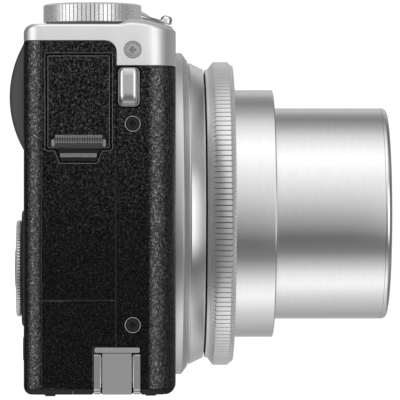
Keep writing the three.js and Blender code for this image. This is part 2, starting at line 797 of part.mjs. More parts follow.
function thumbRest() {
  const [low, high, rise] = [36.3, 52.2, 2.1];
  const half = (high - low) / 2;
  const r = (half * half + rise * rise) / (2 * rise);
  const spread = Math.asin(half / r);
  const face = BACK_Y + 0.03;
  const shape = new THREE.Shape();
  shape.absarc(face + rise - r, (low + high) / 2, r, -spread, spread);
  addSolid("thumb_rest", prismX(shape, -46.6, -36.6, 16), GREY_RUBBER);
}

// ---- Side fittings ---------------------------------------------------------------------------

function connectorDoor() {
  const face = -HALF_WIDTH;
  const back = face + DOOR.t;
  const ridge = polygon([
    [-0.84, 36.8],
    [7.15, 36.8],
    [6.4, 38.5],
    [-0.1, 38.5],
  ]);
  const made = join(
    cut(prismX(doorOutline(0), face, back), block(-60, face + 0.4, -2, 8, 30, DOOR.z0)),
    prismX(ridge, face - 0.25, face + 0.1),
    block(face + 0.1, face + 0.5, 0.9, 5.5, 35.1, 35.8),
    rodY(DOOR_PIVOT.r, -2, 8.3, DOOR_PIVOT.x, DOOR_PIVOT.z, 12),
  );
  addSolid("connector_door", made, LEATHERETTE);
}

// A strap lug: a rimmed pocket with an upright bar that a strap passes behind.
function strapLug(name, side) {
  const outer = side * (HALF_WIDTH + 0.15);
  const inner = side * 48;
  const x = (distance) => side * (HALF_WIDTH - distance);
  const span = (a, b) => [Math.min(a, b), Math.max(a, b)];
  const pocketHalf = LUG.w / 2 - 0.35;
  const tall = LUG.h / 2 - 0.4;
  const barHalf = 0.6;
  const made = cut(
    prismX(lugOutline(0), ...span(outer, inner), 3),
    block(...span(outer + side, x(1.6)), LUG.y - pocketHalf, LUG.y - barHalf, LUG.z - tall, LUG.z + tall),
    block(...span(outer + side, x(1.6)), LUG.y + barHalf, LUG.y + pocketHalf, LUG.z - tall, LUG.z + tall),
    block(...span(x(0.7), x(1.6)), LUG.y - pocketHalf, LUG.y + pocketHalf, LUG.z - tall, LUG.z + tall),
  );
  addSolid(name, made, STEEL);
}

function sideScrews() {
  for (const [name, z] of Object.entries(SIDE_SCREWS)) {
    const look = name === "cover_screw" ? STEEL : BLACK_PLASTIC;
    const made = cut(
      join(
        rodX(SCREW_HEAD_R, -50.02, -49.3, SIDE_SCREW_Y, z, 16),
        rodX(0.6, -49.5, -47.6, SIDE_SCREW_Y, z, 8),
      ),
      block(-51, -49.6, SIDE_SCREW_Y - 0.7, SIDE_SCREW_Y + 0.7, z - 0.14, z + 0.14),
      block(-51, -49.6, SIDE_SCREW_Y - 0.14, SIDE_SCREW_Y + 0.14, z - 0.7, z + 0.7),
    );
    addSolid(name, made, look);
  }
}

// ---- Battery door and its hinge --------------------------------------------------------------

function batteryDoor() {
  const plate = blank.intersect(block(-60, BAY.x1, BAY.y0, BAY.y1, -1, BASE_T));
  const slots = EARS.map(({ y0, y1 }) => block(-60, -46.1, y0 - 0.2, y1 + 0.2, -3, 3));
  const made = cut(
    plate.add(footBump(-43, FOOT.front, FOOT.doorH)),
    block(-60, -48.3, EARS[0].y0, EARS[1].y1, -3, 3),
    ...slots,
    block(-25.2, -17.2, -3.6, 0.6, -3, 3),
  );
  addSolid("battery_door", made, BLACK_PLASTIC);
  const arm = join(
    block(-49.85, -49.05, ARM.y0, ARM.y1, 0, 6.05),
    block(-49.1, -48.88, ARM.y0, ARM.y1, 5.3, 7),
    block(-49.2, -46.4, ARM.y0, ARM.y1, 0.9, 1.4),
  );
  addSolid("battery_door_arm", arm, STEEL);
  const latch = join(
    block(-22.8, -17.4, -3.4, 0.4, 0.1, 1),
    block(-23.4, -16.8, -4, 1, 0.95, 1.5),
    block(-20.6, -20.2, -3, 0, -0.2, 0.2),
    block(-19.6, -19.2, -3, 0, -0.2, 0.2),
  );
  addSolid("battery_door_latch", latch, BLACK_PLASTIC);
}

function hingeHardware() {
  const ears = EARS.map(({ y0, y1 }) => block(-49.97, -48.6, y0, y1, 0.05, 5.9));
  const plate = block(-48.75, -48.42, EARS[0].y0 + 0.4, EARS[1].y1 - 0.4, 1.6, 5.6);
  addSolid("hinge_bracket", join(plate, ...ears), STEEL);
  const length = HINGE.y1 - HINGE.y0;
  const middle = (HINGE.y0 + HINGE.y1) / 2;
  const pin = new THREE.CylinderGeometry(HINGE.r, HINGE.r, length, 20);
  addMesh("hinge_pin", pin, STEEL, camera, [HINGE.x, middle, HINGE.z]);
}

// ---- Front fittings --------------------------------------------------------------------------

function frontFittings() {
  const { x0, x1, z0, z1 } = FLASH;
  addSolid("flash_window", prismY(roundedRectangle(x0, x1, z0, z1, 0.4), -11.25, -10, 2), LENS_GLASS);
  const tray = cut(
    block(x0 - 0.4, x1 + 0.4, -9.7, -4.6, z0 - 0.4, z1 + 0.4),
    block(x0 + 0.4, x1 - 0.4, -10, -6, z0 + 0.4, z1 - 0.4),
  );
  addSolid("flash_reflector", tray, STEEL);
  addSolid("af_lamp", rodY(AF_LAMP.r, -11.3, -10.2, AF_LAMP.x, AF_LAMP.z, 24), LENS_GLASS);
}

topCover();
frontCover();
rearCover();
sidePanels();
bottomPlate();
chassis();
electronics();
socketShell("usb_socket", 0.8, 3.4, 40.4, 47.8);
socketShell("hdmi_socket", 4.1, 7.3, 38.6, 48.8);
powerAndCard();
lensBarrels();
lensOptics();
barrierBlades();
modeDial();
shutterControls();
powerButton();
rearButtons();
selector();
thumbRest();
connectorDoor();
strapLug("strap_lug_grip", -1);
strapLug("strap_lug_left", 1);
sideScrews();
batteryDoor();
hingeHardware();
frontFittings();

export default camera;
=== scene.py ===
"""Looks for a compact digital camera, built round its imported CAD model.

Lengths in this script are millimetres. The mesh helpers turn them into metres.
"""
import json
from math import asin, cos, pi, radians, sin, sqrt, tan

import bmesh
import bpy
from mathutils import Matrix, Vector


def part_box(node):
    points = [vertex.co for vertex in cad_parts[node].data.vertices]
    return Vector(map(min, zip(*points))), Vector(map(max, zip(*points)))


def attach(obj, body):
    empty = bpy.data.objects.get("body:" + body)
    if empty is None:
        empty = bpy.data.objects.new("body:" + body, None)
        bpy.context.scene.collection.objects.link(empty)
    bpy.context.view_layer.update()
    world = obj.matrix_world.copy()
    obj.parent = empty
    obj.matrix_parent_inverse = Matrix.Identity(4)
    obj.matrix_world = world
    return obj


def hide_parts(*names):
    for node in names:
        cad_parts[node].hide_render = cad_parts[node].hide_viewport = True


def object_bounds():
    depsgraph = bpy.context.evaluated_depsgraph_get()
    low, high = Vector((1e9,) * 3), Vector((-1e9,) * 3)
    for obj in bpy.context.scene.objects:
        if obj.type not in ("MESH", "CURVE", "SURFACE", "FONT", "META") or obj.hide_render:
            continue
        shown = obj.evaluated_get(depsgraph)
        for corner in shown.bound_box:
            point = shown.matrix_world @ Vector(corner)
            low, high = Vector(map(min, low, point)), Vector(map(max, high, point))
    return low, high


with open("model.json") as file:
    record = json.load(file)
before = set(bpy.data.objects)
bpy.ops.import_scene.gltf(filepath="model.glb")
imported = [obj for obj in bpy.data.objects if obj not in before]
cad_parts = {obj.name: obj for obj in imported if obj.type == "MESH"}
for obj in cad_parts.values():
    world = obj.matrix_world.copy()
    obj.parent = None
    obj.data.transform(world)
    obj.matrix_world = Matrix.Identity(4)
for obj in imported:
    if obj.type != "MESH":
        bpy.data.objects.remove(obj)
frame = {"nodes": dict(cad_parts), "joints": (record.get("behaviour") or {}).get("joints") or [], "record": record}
CAD_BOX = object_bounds()
MM = 0.001
JOINTS = {joint["name"]: joint for joint in frame["joints"]}


# ---- Places from the frame ----

class Box:
    """A CAD node's box in millimetres."""

    def __init__(self, node):
        low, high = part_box(node)
        self.x0, self.y0, self.z0 = (value / MM for value in low)
        self.x1, self.y1, self.z1 = (value / MM for value in high)
        self.x, self.y, self.z = ((a + b) / 2 / MM for a, b in zip(low, high))
        self.width = self.x1 - self.x0
        self.radius = self.width / 2


def pivot(joint):
    """A point on a joint's axis in millimetres."""
    return Vector(JOINTS[joint]["pos_m"]) / MM


BODY = Box("rear_cover")
LENS = Box("control_ring")
LENS_AXIS = Vector((LENS.x, 0, LENS.z))
BACK_Y = BODY.y1
FRONT_Y = -BACK_Y
HALF_X = BODY.x1
# The top cover clears the front and rear covers by a seam.
SEAM = 0.08
APRON_Z = Box("front_cover").z1 + SEAM
COVER_REAR_Z = BODY.z1 + SEAM
APRON_Y = Box("front_cover").y1 + SEAM / 2
DECK_Z = Box("mode_dial").z1 - 3.4
LEVER_SEAT = pivot("zoom_lever_turn")
LEVER_AXIS = Vector(JOINTS["zoom_lever_turn"]["axis"])
UP = (0, 0, 1)
# The body that every fixed piece rides on.
CASE = "camera_body"


# ---- Materials ----

class Graph:
    """A node tree, with short calls to add nodes and to set or link their inputs."""

    def __init__(self, tree):
        self.nodes = tree.nodes
        self.links = tree.links

    def feed(self, node, inputs):
        """Sets inputs to plain values, or links them to an output or to a node's first output."""
        for key, value in inputs.items():
            if isinstance(value, bpy.types.Node):
                value = value.outputs[0]
            if isinstance(value, bpy.types.NodeSocket):
                self.links.new(value, node.inputs[key])
            else:
                node.inputs[key].default_value = value

    def add(self, kind, inputs=None, **settings):
        node = self.nodes.new(kind)
        for name, value in settings.items():
            setattr(node, name, value)
        self.feed(node, inputs or {})
        return node

    def calc(self, operation, *values):
        return self.add("ShaderNodeMath", dict(enumerate(values)), operation=operation)

    def place(self, stretch=(1, 1, 1)):
        """Object coordinates in millimetres, optionally stretched."""
        source = self.add("ShaderNodeTexCoord").outputs["Object"]
        return self.add("ShaderNodeMapping", {
            "Vector": source, "Scale": [value / MM for value in stretch],
        })

    def split(self, vector):
        return self.add("ShaderNodeSeparateXYZ", {0: vector}).outputs

    def noise(self, vector, scale, detail):
        return self.add("ShaderNodeTexNoise", {"Vector": vector, "Scale": scale, "Detail": detail})

    def ramp(self, factor, stops):
        """A colour ramp from (position, grey or colour) stops."""
        node = self.add("ShaderNodeValToRGB", {"Fac": factor})
        elements = node.color_ramp.elements
        while len(elements) < len(stops):
            elements.new(0.5)
        for element, (position, value) in zip(elements, stops):
            element.position = position
            colour = value if isinstance(value, tuple) else (value, value, value)
            element.color = (*colour, 1)
        return node

    def smooth(self, value, low, high, start=0.0, end=1.0):
        """Goes softly from start to end while the value goes from low to high."""
        limits = {"From Min": low, "From Max": high, "To Min": start, "To Max": end}
        return self.add("ShaderNodeMapRange", {"Value": value, **limits},
                        interpolation_type="SMOOTHSTEP")

    def bump(self, height, distance, strength=1.0):
        """A normal from a height of 0 to 1. distance is its depth in millimetres."""
        inputs = {"Height": height, "Distance": distance * MM, "Strength": strength}
        return self.add("ShaderNodeBump", inputs)

    def blend(self, factor, first, second):
        """Mixes two shaders: the first where the factor is 0."""
        return self.add("ShaderNodeMixShader", {0: factor, 1: first, 2: second})


def new_material(name):
    material = bpy.data.materials.new(name)
    material.use_nodes = True
    graph = Graph(material.node_tree)
    return material, graph, graph.nodes["Principled BSDF"]


def leatherette():
    """Black pebbled leatherette: fine glossy pebbles, with a painted sheen on corners that turn towards the front
    or back, and painted sparkle that grows towards the top.
    """
    material, graph, shader = new_material("leatherette")
    place = graph.place()
    warp = graph.noise(place, 1.9, 2.0).outputs["Color"]
    shifted = graph.add("ShaderNodeVectorMath", {0: warp, 1: (1.1, 1.1, 1.1), 2: place},
                        operation="MULTIPLY_ADD")
    cells = graph.add("ShaderNodeTexVoronoi", {"Vector": shifted, "Scale": 2.0},
                      feature="DISTANCE_TO_EDGE")
    pebble = graph.ramp(cells, [(0.02, 0.0), (0.14, 0.75), (0.4, 1.0)])
    fine = graph.noise(shifted, 3.6, 2.0)
    spark = graph.ramp(fine, [(0.44, 0.0), (0.54, 0.22), (0.62, 0.85), (0.72, 1.0)])
    # Painted light: the sparkle grows towards the top, as if lit from above.
    upper = graph.smooth(graph.split(place)[2], 16, 50, 0.32, 1.25)
    flat = graph.calc("MULTIPLY", graph.calc("MULTIPLY_ADD", spark, upper, 0.07), 0.46)
    normal = graph.add("ShaderNodeNewGeometry").outputs["Normal"]
    sideways = graph.calc("ABSOLUTE", graph.split(normal)[1])
    # Painted sheen: reflection rises where the normal turns partly towards the front or back, standing in for lit
    # bands on the corners.
    painted_corner_sheen = graph.ramp(sideways, [
        (0.05, 0.0), (0.2, 0.95), (0.5, 1.0), (0.78, 0.3), (0.96, 0.0),
    ])
    corner_sheen_level = graph.calc("MULTIPLY_ADD", spark, 1.05, 0.25)
    graph.feed(shader, {
        "Base Color": graph.ramp(pebble, [(0.0, 0.001), (1.0, 0.003)]),
        "Specular IOR Level": graph.calc("MULTIPLY_ADD", corner_sheen_level, painted_corner_sheen, flat),
        "IOR": 1.85,
        "Roughness": 0.3,
        "Normal": graph.bump(graph.calc("MULTIPLY_ADD", fine, 0.8, pebble), 0.03),
    })
    return material


def metal(name, grey, roughness, grain=0.002, stretch=(1, 1, 1), variation=0.03, metallic=1.0,
          valley=1.0):
    """Satin metal: fine grain in roughness and height, stretched along a turning direction.

    A valley below 1 paints shade into the bottoms of knurled grooves.
    """
    material, graph, shader = new_material(name)
    place = graph.place(stretch)
    fine = graph.noise(place, 9.0, 4.0)
    low = grey - variation
    tint = graph.ramp(graph.noise(place, 0.35, 2.0), [
        (0.3, (low, low, low + 0.003)), (0.7, (grey, grey, grey + 0.006)),
    ])
    if valley < 1:
        hollow = graph.add("ShaderNodeAttribute", attribute_name="hollow").outputs["Fac"]
        # Painted shade: the colour darkens with the depth of the groove.
        shade = graph.ramp(hollow, [(0.2, 1.0), (0.9, valley)])
        tint = graph.add("ShaderNodeVectorMath", {0: tint, 1: shade}, operation="MULTIPLY")
    graph.feed(shader, {
        "Base Color": tint,
        "Roughness": graph.ramp(fine, [(0.2, roughness - 0.04), (0.8, roughness + 0.04)]),
        "Metallic": metallic,
    })
    if grain:
        graph.feed(shader, {"Normal": graph.bump(fine, grain, 0.5)})
    return material


def plastic(name, colour, roughness, grain=0.01, scale=6.0):
    """Moulded plastic or rubber with a spark-eroded surface."""
    material, graph, shader = new_material(name)
    fine = graph.noise(graph.place(), scale, 4.0)
    low = tuple(value * 0.85 for value in colour)
    graph.feed(shader, {
        "Base Color": graph.ramp(fine, [(0.3, low), (0.7, colour)]),
        "Roughness": graph.ramp(fine, [(0.25, roughness - 0.05), (0.75, roughness + 0.05)]),
    })
    if grain:
        graph.feed(shader, {"Normal": graph.bump(fine, grain)})
    return material


def glass(name, tint, roughness=0.02, clear=0.75):
    """Coated glass: dark, clear and with a coloured sheen that changes with the angle."""
    material, graph, shader = new_material(name)
    red, green, blue = tint
    facing = graph.add("ShaderNodeLayerWeight", {"Blend": 0.35}).outputs["Facing"]
    graph.feed(shader, {
        "Base Color": graph.ramp(facing, [
            (0.0, (red * 0.4, green * 0.5, blue)),
            (0.45, (red, green * 0.55, blue * 0.8)),
            (1.0, (red * 0.5, green, blue * 0.6)),
        ]),
        "Roughness": roughness,
        "Transmission Weight": clear,
        "IOR": 1.52,
        "Coat Weight": 0.6,
        "Coat Roughness": 0.02,
    })
    return material


LEATHER = leatherette()
SILVER_CAST = metal("silver_cast", 0.98, 0.42, grain=0.004, metallic=0.9)
SILVER_TURNED = metal("silver_turned", 0.84, 0.18, stretch=(1, 14, 1))
SILVER_BRIGHT = metal("silver_bright", 0.88, 0.2)
# The dial and knurled metals paint shade into their groove bottoms.
SILVER_DIAL = metal("silver_dial", 0.96, 0.27, metallic=0.6, valley=0.3)
SILVER_BLASTED = metal("silver_blasted", 0.74, 0.36, grain=0.004, metallic=0.92)
SILVER_KNURLED = metal("silver_knurled", 0.95, 0.34, grain=0.004, metallic=0.6, valley=0.85)
SCREW_STEEL = metal("screw_steel", 0.58, 0.36)
STEEL_SATIN = metal("steel_satin", 0.36, 0.36, stretch=(1, 6, 1))
STEEL_BRIGHT = metal("steel_bright", 0.75, 0.2, grain=0.004)
STEEL_DARK = metal("steel_dark", 0.09, 0.34, grain=0.006)
HINGE_STEEL = metal("hinge_steel", 0.5, 0.36, grain=0.0, variation=0.008)
EAR_STEEL = metal("ear_steel", 0.41, 0.36, grain=0.0, variation=0.008)
BLADE_STEEL = metal("blade_steel", 0.05, 0.3, grain=0.004)
FLASH_GLASS = metal("flash_glass", 0.8, 0.14, grain=0.0)
BLACK_MOULDED = plastic("black_moulded", (0.018, 0.018, 0.019), 0.42)
BLACK_MATT = plastic("black_matt", (0.008, 0.008, 0.009), 0.7)
GREY_RUBBER = plastic("grey_rubber", (0.085, 0.085, 0.088), 0.6)
# Lighter greys of one plastic: painted highlights on the connector door's edges and grip.
GREY_EDGE = plastic("grey_edge", (0.15, 0.15, 0.155), 0.32, grain=0.0)
GREY_RIDGE = plastic("grey_ridge", (0.3, 0.3, 0.31), 0.4, grain=0.0)
GREY_SEAM = plastic("grey_seam", (0.05, 0.05, 0.052), 0.35, grain=0.0)
RED_DOT = plastic("red_dot", (0.42, 0.02, 0.015), 0.4)
GREEN_BOARD = plastic("green_board", (0.02, 0.12, 0.05), 0.4, scale=1.5)
WHITE_MARK = plastic("white_mark", (0.75, 0.75, 0.74), 0.5)
SCREEN_GLASS = plastic("screen_glass", (0.006, 0.0065, 0.008), 0.09, grain=0.0)
LENS_GLASS = glass("lens_glass", (0.22, 0.24, 0.42))
LAMP_GLASS = glass("lamp_glass", (0.75, 0.45, 0.35), 0.1, 0.6)

SLOT_MATERIALS = {
    "leatherette": LEATHER,
    "satin_silver": SILVER_CAST,
    "steel": STEEL_SATIN,
    "black_plastic": BLACK_MOULDED,
    "black_screw": STEEL_DARK,
    "battery_case": BLACK_MOULDED,
    "grey_rubber": GREY_RUBBER,
    "circuit_board": GREEN_BOARD,
    "lens_glass": LENS_GLASS,
    "screen_glass": SCREEN_GLASS,
    "display_stack": SCREEN_GLASS,
}
# Nodes that look different from the rest of their slot.
NODE_MATERIALS = {
    "af_lamp": LAMP_GLASS,
    "bottom_plate": BLACK_MATT,
    "battery_door": BLACK_MATT,
    "battery_door_arm": HINGE_STEEL,
    "hinge_bracket": EAR_STEEL,
    "lens_fixed_tube": BLACK_MATT,
    "image_sensor": SCREEN_GLASS,
}
for shiny in ("flash_reflector", "zoom_motor", "tripod_socket", "usb_socket", "hdmi_socket"):
    NODE_MATERIALS[shiny] = STEEL_BRIGHT
for side in ("upper", "lower"):
    for layer in ("front", "rear"):
        NODE_MATERIALS[f"barrier_blade_{side}_{layer}"] = BLADE_STEEL


# ---- CAD nodes that stay ----

def shading_group():
    """Merges split points, shades smooth and keeps edges over 30 degrees sharp."""
    group = bpy.data.node_groups.new("clean_shading", "GeometryNodeTree")
    for way in ("INPUT", "OUTPUT"):
        group.interface.new_socket("Geometry", in_out=way, socket_type="NodeSocketGeometry")
    graph = Graph(group)
    start = graph.add("NodeGroupInput")
    merged = graph.add("GeometryNodeMergeByDistance", {"Geometry": start, "Distance": 0.0005 * MM})
    smooth = graph.add("GeometryNodeSetShadeSmooth", {"Geometry": merged})
    angle = graph.add("GeometryNodeInputMeshEdgeAngle")
    gentle = graph.add("FunctionNodeCompare", {"A": angle, "B": radians(30)}, operation="LESS_THAN")
    edges = graph.add("GeometryNodeSetShadeSmooth", {"Geometry": smooth, "Shade Smooth": gentle},
                      domain="EDGE")
    graph.add("NodeGroupOutput", {0: edges})
    return group


def bevel_edges(obj, width, segments, angle):
    """Rounds a piece's edges that turn by more than an angle in degrees."""
    bevel = obj.modifiers.new("edge", "BEVEL")
    bevel.width = width * MM
    bevel.segments = segments
    bevel.limit_method = "ANGLE"
    bevel.angle_limit = radians(angle)
    return bevel


def dress(node, material, edge, shading):
    """Gives a CAD node its material, clean shading and softened edges."""
    obj = frame["nodes"][node]
    for slot in obj.material_slots:
        slot.material = material
    obj.modifiers.new("clean", "NODES").node_group = shading
    bevel_edges(obj, edge, 2, 32)
    obj.modifiers.new("even", "WEIGHTED_NORMAL").keep_sharp = True


def dress_cad_nodes():
    """Dresses every node. The two base pieces meet closely and keep crisp edges."""
    slots = {row["node"]: row["material_slot"] for row in frame["record"]["subparts"]}
    shading = shading_group()
    for node in frame["nodes"]:
        edge = 0.02 if node in ("bottom_plate", "battery_door") else 0.08
        dress(node, NODE_MATERIALS.get(node, SLOT_MATERIALS[slots[node]]), edge, shading)


# ---- Mesh helpers ----

def linked(name, data):
    obj = bpy.data.objects.new(name, data)
    bpy.context.scene.collection.objects.link(obj)
    return obj


def make(name, points, faces, material, body, replaces=None, sharp=35):
    """A mesh piece from points in millimetres, riding on a body."""
    mesh = bpy.data.meshes.new(name)
    mesh.from_pydata([Vector(point) * MM for point in points], [], faces)
    mesh.validate()
    mesh.materials.append(material)
    mesh.shade_smooth()
    mesh.set_sharp_from_angle(angle=radians(sharp))
    obj = linked(name, mesh)
    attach(obj, body)
    if replaces:
        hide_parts(replaces)
    return obj


def straighten(obj):
    """Turns every face outwards."""
    shape = bmesh.new()
    shape.from_mesh(obj.data)
    bmesh.ops.recalc_face_normals(shape, faces=shape.faces)
    shape.to_mesh(obj.data)
    shape.free()


def band(low, high, count):
    """Quads between two rings of points, from each ring's first index."""
    return [[low + i, low + (i + 1) % count, high + (i + 1) % count, high + i] for i in range(count)]


def caps(rows, count):
    """The two end faces of a stack of rings."""
    return [list(range(count))[::-1], list(range((rows - 1) * count, rows * count))]


def grid(rows, columns):
    """Quads of a grid of rows + 1 by columns + 1 points."""
    wide = columns + 1
    starts = [row * wide + column for row in range(rows) for column in range(columns)]
    return [[here, here + 1, here + wide + 1, here + wide] for here in starts]


def stacked(name, loops, material, body, replaces=None, closed=False):
    """A piece from loops of the same number of points: capped, or joined end to start."""
    rows, count = len(loops), len(loops[0])
    faces = [] if closed else caps(rows, count)
    for row in range(rows if closed else rows - 1):
        faces += band(row * count, (row + 1) % rows * count, count)
    points = [point for loop in loops for point in loop]
    obj = make(name, points, faces, material, body, replaces)
    straighten(obj)
    return obj


def turned_area(outline):
    """Twice the signed area of an outline, positive when it runs anticlockwise."""
    return sum(a[0] * b[1] - b[0] * a[1] for a, b in zip(outline, outline[1:] + outline[:1]))


def softened(corners):
    """A profile of (u, v) or (u, v, fillet) corners with each fillet turned into an arc."""
    result = []
    steps = 5
    for index, corner in enumerate(corners):
        here = Vector(corner[:2])
        radius = corner[2] if len(corner) > 2 else 0
        if not radius or index in (0, len(corners) - 1):
            result.append(tuple(here))
            continue
        before = (Vector(corners[index - 1][:2]) - here).normalized()
        after = (Vector(corners[index + 1][:2]) - here).normalized()
        half = before.angle(after) / 2
        reach = radius / tan(half)
        centre = here + (before + after).normalized() * (radius / sin(half))
        start = here + before * reach - centre
        turn = start.angle_signed(here + after * reach - centre)
        for step in range(steps + 1):
            spoke = start.copy()
            spoke.rotate(Matrix.Rotation(-turn * step / steps, 2))
            result.append(tuple(centre + spoke))
    return result


class Spindle:
    """An axis, and the points round it."""

    def __init__(self, origin, axis):
        self.origin = Vector(origin)
        self.turn = Vector((0, 0, 1)).rotation_difference(Vector(axis).normalized()).to_matrix()

    def point(self, radius, angle, height):
        return self.origin + self.turn @ Vector((radius * cos(angle), radius * sin(angle), height))


# The depth of a knurl's groove that the darkest painted groove shade stands for.
KNURL_DEPTH = 0.3


def lathe(name, corners, material, body, origin, axis=(0, 1, 0), steps=64, groove=None,
          replaces=None, sharp=35):
    """Turns a profile of (radius, height) corners about an axis.

    A profile that starts off the axis is closed into a ring.
    groove(angle) gives the largest radius there, which cuts knurls into the profile.
    """
    closed = corners[0][0] > 0
    rows = softened(corners + corners[:1])[:-1] if closed else softened(corners)
    spindle = Spindle(origin, axis)
    points, rings, depths = [], [], []
    for radius, height in rows:
        if radius < 1e-6:
            depths.append(0.0)
            rings.append([len(points)] * steps)
            points.append(spindle.point(0, 0, height))
            continue
        rings.append(list(range(len(points), len(points) + steps)))
        for step in range(steps):
            angle = 2 * pi * step / steps
            cut_radius = min(radius, groove(angle)) if groove else radius
            depths.append((radius - cut_radius) / KNURL_DEPTH)
            points.append(spindle.point(cut_radius, angle, height))
    outward = turned_area(rows) > 0
    faces = []
    for index in range(len(rings) if closed else len(rings) - 1):
        low, high = rings[index], rings[(index + 1) % len(rings)]
        for step in range(steps):
            after = (step + 1) % steps
            loop = list(dict.fromkeys([low[step], low[after], high[after], high[step]]))
            if len(loop) > 2:
                faces.append(loop if outward else loop[::-1])
    obj = make(name, points, faces, material, body, replaces, sharp)
    # Each point's groove depth, which the metal turns into painted groove shade.
    obj.data.attributes.new("hollow", "FLOAT", "POINT").data.foreach_set("value", depths)
    return obj


def prism(name, outline, low, high, axis, material, body, edge=0.1, replaces=None):
    """Extrudes an outline along the X, Y or Z axis, with rounded edges.

    The outline is in Y and Z for X, in Z and X for Y, and in X and Y for Z.
    """
    place = {
        "X": lambda u, v, w: (w, u, v),
        "Y": lambda u, v, w: (v, w, u),
        "Z": lambda u, v, w: (u, v, w),
    }[axis]
    count = len(outline)
    points = [place(u, v, w) for w in (low, high) for u, v in outline]
    faces = caps(2, count) + band(0, count, count)
    if turned_area(outline) < 0:
        faces = [face[::-1] for face in faces]
    obj = make(name, points, faces, material, body, replaces)
    if edge:
        bevel_edges(obj, edge, 3, 30).harden_normals = True
    return obj


def bead(name, points, radius, material, body, closed=False):
    """A thin raised line along a path."""
    curve = bpy.data.curves.new(name, "CURVE")
    curve.dimensions = "3D"
    curve.bevel_depth = radius * MM
    curve.bevel_resolution = 2
    spline = curve.splines.new("POLY")
    spline.points.add(len(points) - 1)
    for target, point in zip(spline.points, points):
        target.co = (*(Vector(point) * MM), 1)
    spline.use_cyclic_u = closed
    curve.materials.append(material)
    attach(linked(name, curve), body)


def ribbed(name, along, span, heights, pitch, z_span, material, body, replaces=None):
    """A bar with a row of small upright ribs. heights are the base, the valleys and the crests."""
    base, valley, crest = heights
    start, end = span
    count = round((end - start) / pitch)
    pitch = (end - start) / count
    run = []
    for index in range(count):
        here = start + pitch * index
        run += [(here, valley), (here + 0.3 * pitch, crest), (here + 0.7 * pitch, crest)]
    run += [(end, valley), (end, base), (start, base)]
    if along == "Y":
        run = [(depth, place) for place, depth in run]
    prism(name, run, *z_span, "Z", material, body, 0, replaces)


def rounded_rectangle(u0, u1, v0, v1, radius):
    low_u, high_u, low_v, high_v = u0 + radius, u1 - radius, v0 + radius, v1 - radius
    outline = []
    steps = 5
    for quarter, (u, v) in enumerate([(high_u, low_v), (high_u, high_v), (low_u, high_v), (low_u, low_v)]):
        for step in range(steps + 1):
            angle = radians(90 * (quarter - 1 + step / steps))
            outline.append((u + radius * cos(angle), v + radius * sin(angle)))
    return outline


def ribs(count, low, top_share, slope_share):
    """The groove function of a knurl: ribs left at full radius, with sides sloping down to low."""
    uncut = 30

    def radius(angle):
        phase = (angle * count / (2 * pi)) % 1
        distance = abs(phase - 0.5) * 2
        if distance > 1 - top_share:
            return uncut
        share = min(1, (1 - top_share - distance) / slope_share)
        return uncut + (low - uncut) * share
    return radius


def drill(start, axis, radius, length, steps):
    """A rod used only to cut a hole."""
    spindle = Spindle(start, axis)
    turns = [2 * pi * step / steps for step in range(steps)]
    points = [spindle.point(radius, angle, height) * MM for height in (0, length) for angle in turns]
    mesh = bpy.data.meshes.new("drill")
    mesh.from_pydata(points, [], caps(2, steps) + band(0, steps, steps))
    return linked("drill", mesh)


def cut(obj, cutter):
    """Cuts one piece with a cutter for good, then removes the cutter."""
    modifier = obj.modifiers.new("cut", "BOOLEAN")
    modifier.operation = "DIFFERENCE"
    modifier.solver = "EXACT"
    modifier.object = cutter
    bpy.context.view_layer.objects.active = obj
    with bpy.context.temp_override(object=obj, active_object=obj):
        bpy.ops.object.modifier_apply(modifier=modifier.name)
    bpy.data.objects.remove(cutter)
    obj.data.set_sharp_from_angle(angle=radians(25))


# ---- Lens ----

def lens_part(name, corners, material, body, replaces=None, steps=192, **settings):
    """A turned part on the lens axis."""
    lathe(name, corners, material, body, LENS_AXIS, steps=steps, replaces=replaces, **settings)


def lens_rings():
    trim = Box("lens_trim_ring")
    bore = 22.65
    seam = trim.y0 + 2.3
    lens_part("trim_ring", [
        (bore, trim.y1), (bore + 0.35, trim.y1), (bore + 0.35, trim.y1 - 1.78),
        (trim.radius, FRONT_Y - 0.05, 0.1), (trim.radius, seam + 1.15, 0.25), (24.64, seam + 0.22, 0.1),
        (24.1, seam + 0.2), (24.1, seam), (bore, seam),
    ], SILVER_BLASTED, CASE, "lens_trim_ring")
    lens_part("trim_cone", [
        (bore, seam - 0.02), (24.4, seam - 0.02, 0.06), (23.3, trim.y0, 0.08), (bore, trim.y0),
    ], SILVER_BRIGHT, CASE)
    ring = LENS
    bore = 22.6
    teeth = 172
    valley = 23.88
    # Both flanks of the teeth have a corner every 0.1 mm of radius, so that the grooves cut cleanly.
    rear_flank = enumerate((0.83, 0.9, 0.97, 1.05, 1.13, 1.2, 1.28))
    front_flank = enumerate((0.7, 0.6, 0.5, 0.4, 0.33))
    lens_part("knurled_ring", [
        (bore, ring.y1), (23.2, ring.y1, 0.08), (23.35, ring.y1 - 0.5, 0.3),
        *[(23.8 + 0.1 * index, ring.y1 - depth) for index, depth in rear_flank],
        (ring.radius, ring.y1 - 1.4), (ring.radius, ring.y0 + 0.8),
        *[(24.4 - 0.1 * index, ring.y0 + depth) for index, depth in front_flank],
        (23.85, ring.y0, 0.1), (bore, ring.y0),
    ], SILVER_KNURLED, "control_ring", "control_ring", teeth * 10,
        groove=ribs(teeth, valley, 0.36, 0.52), sharp=40)


def barrel(node, bore, mouth, lip, front_edge, mouth_edge):
    """A tube whose bore narrows to a mouth over the length of its lip."""
    tube = Box(node)
    radius = tube.radius
    lens_part(f"{node}_shell", [
        (bore, tube.y1), (radius, tube.y1, 0.2), (radius, tube.y0, front_edge),
        (mouth, tube.y0, mouth_edge), (mouth, tube.y0 + lip), (bore, tube.y0 + lip),
    ], SILVER_TURNED, node, node)


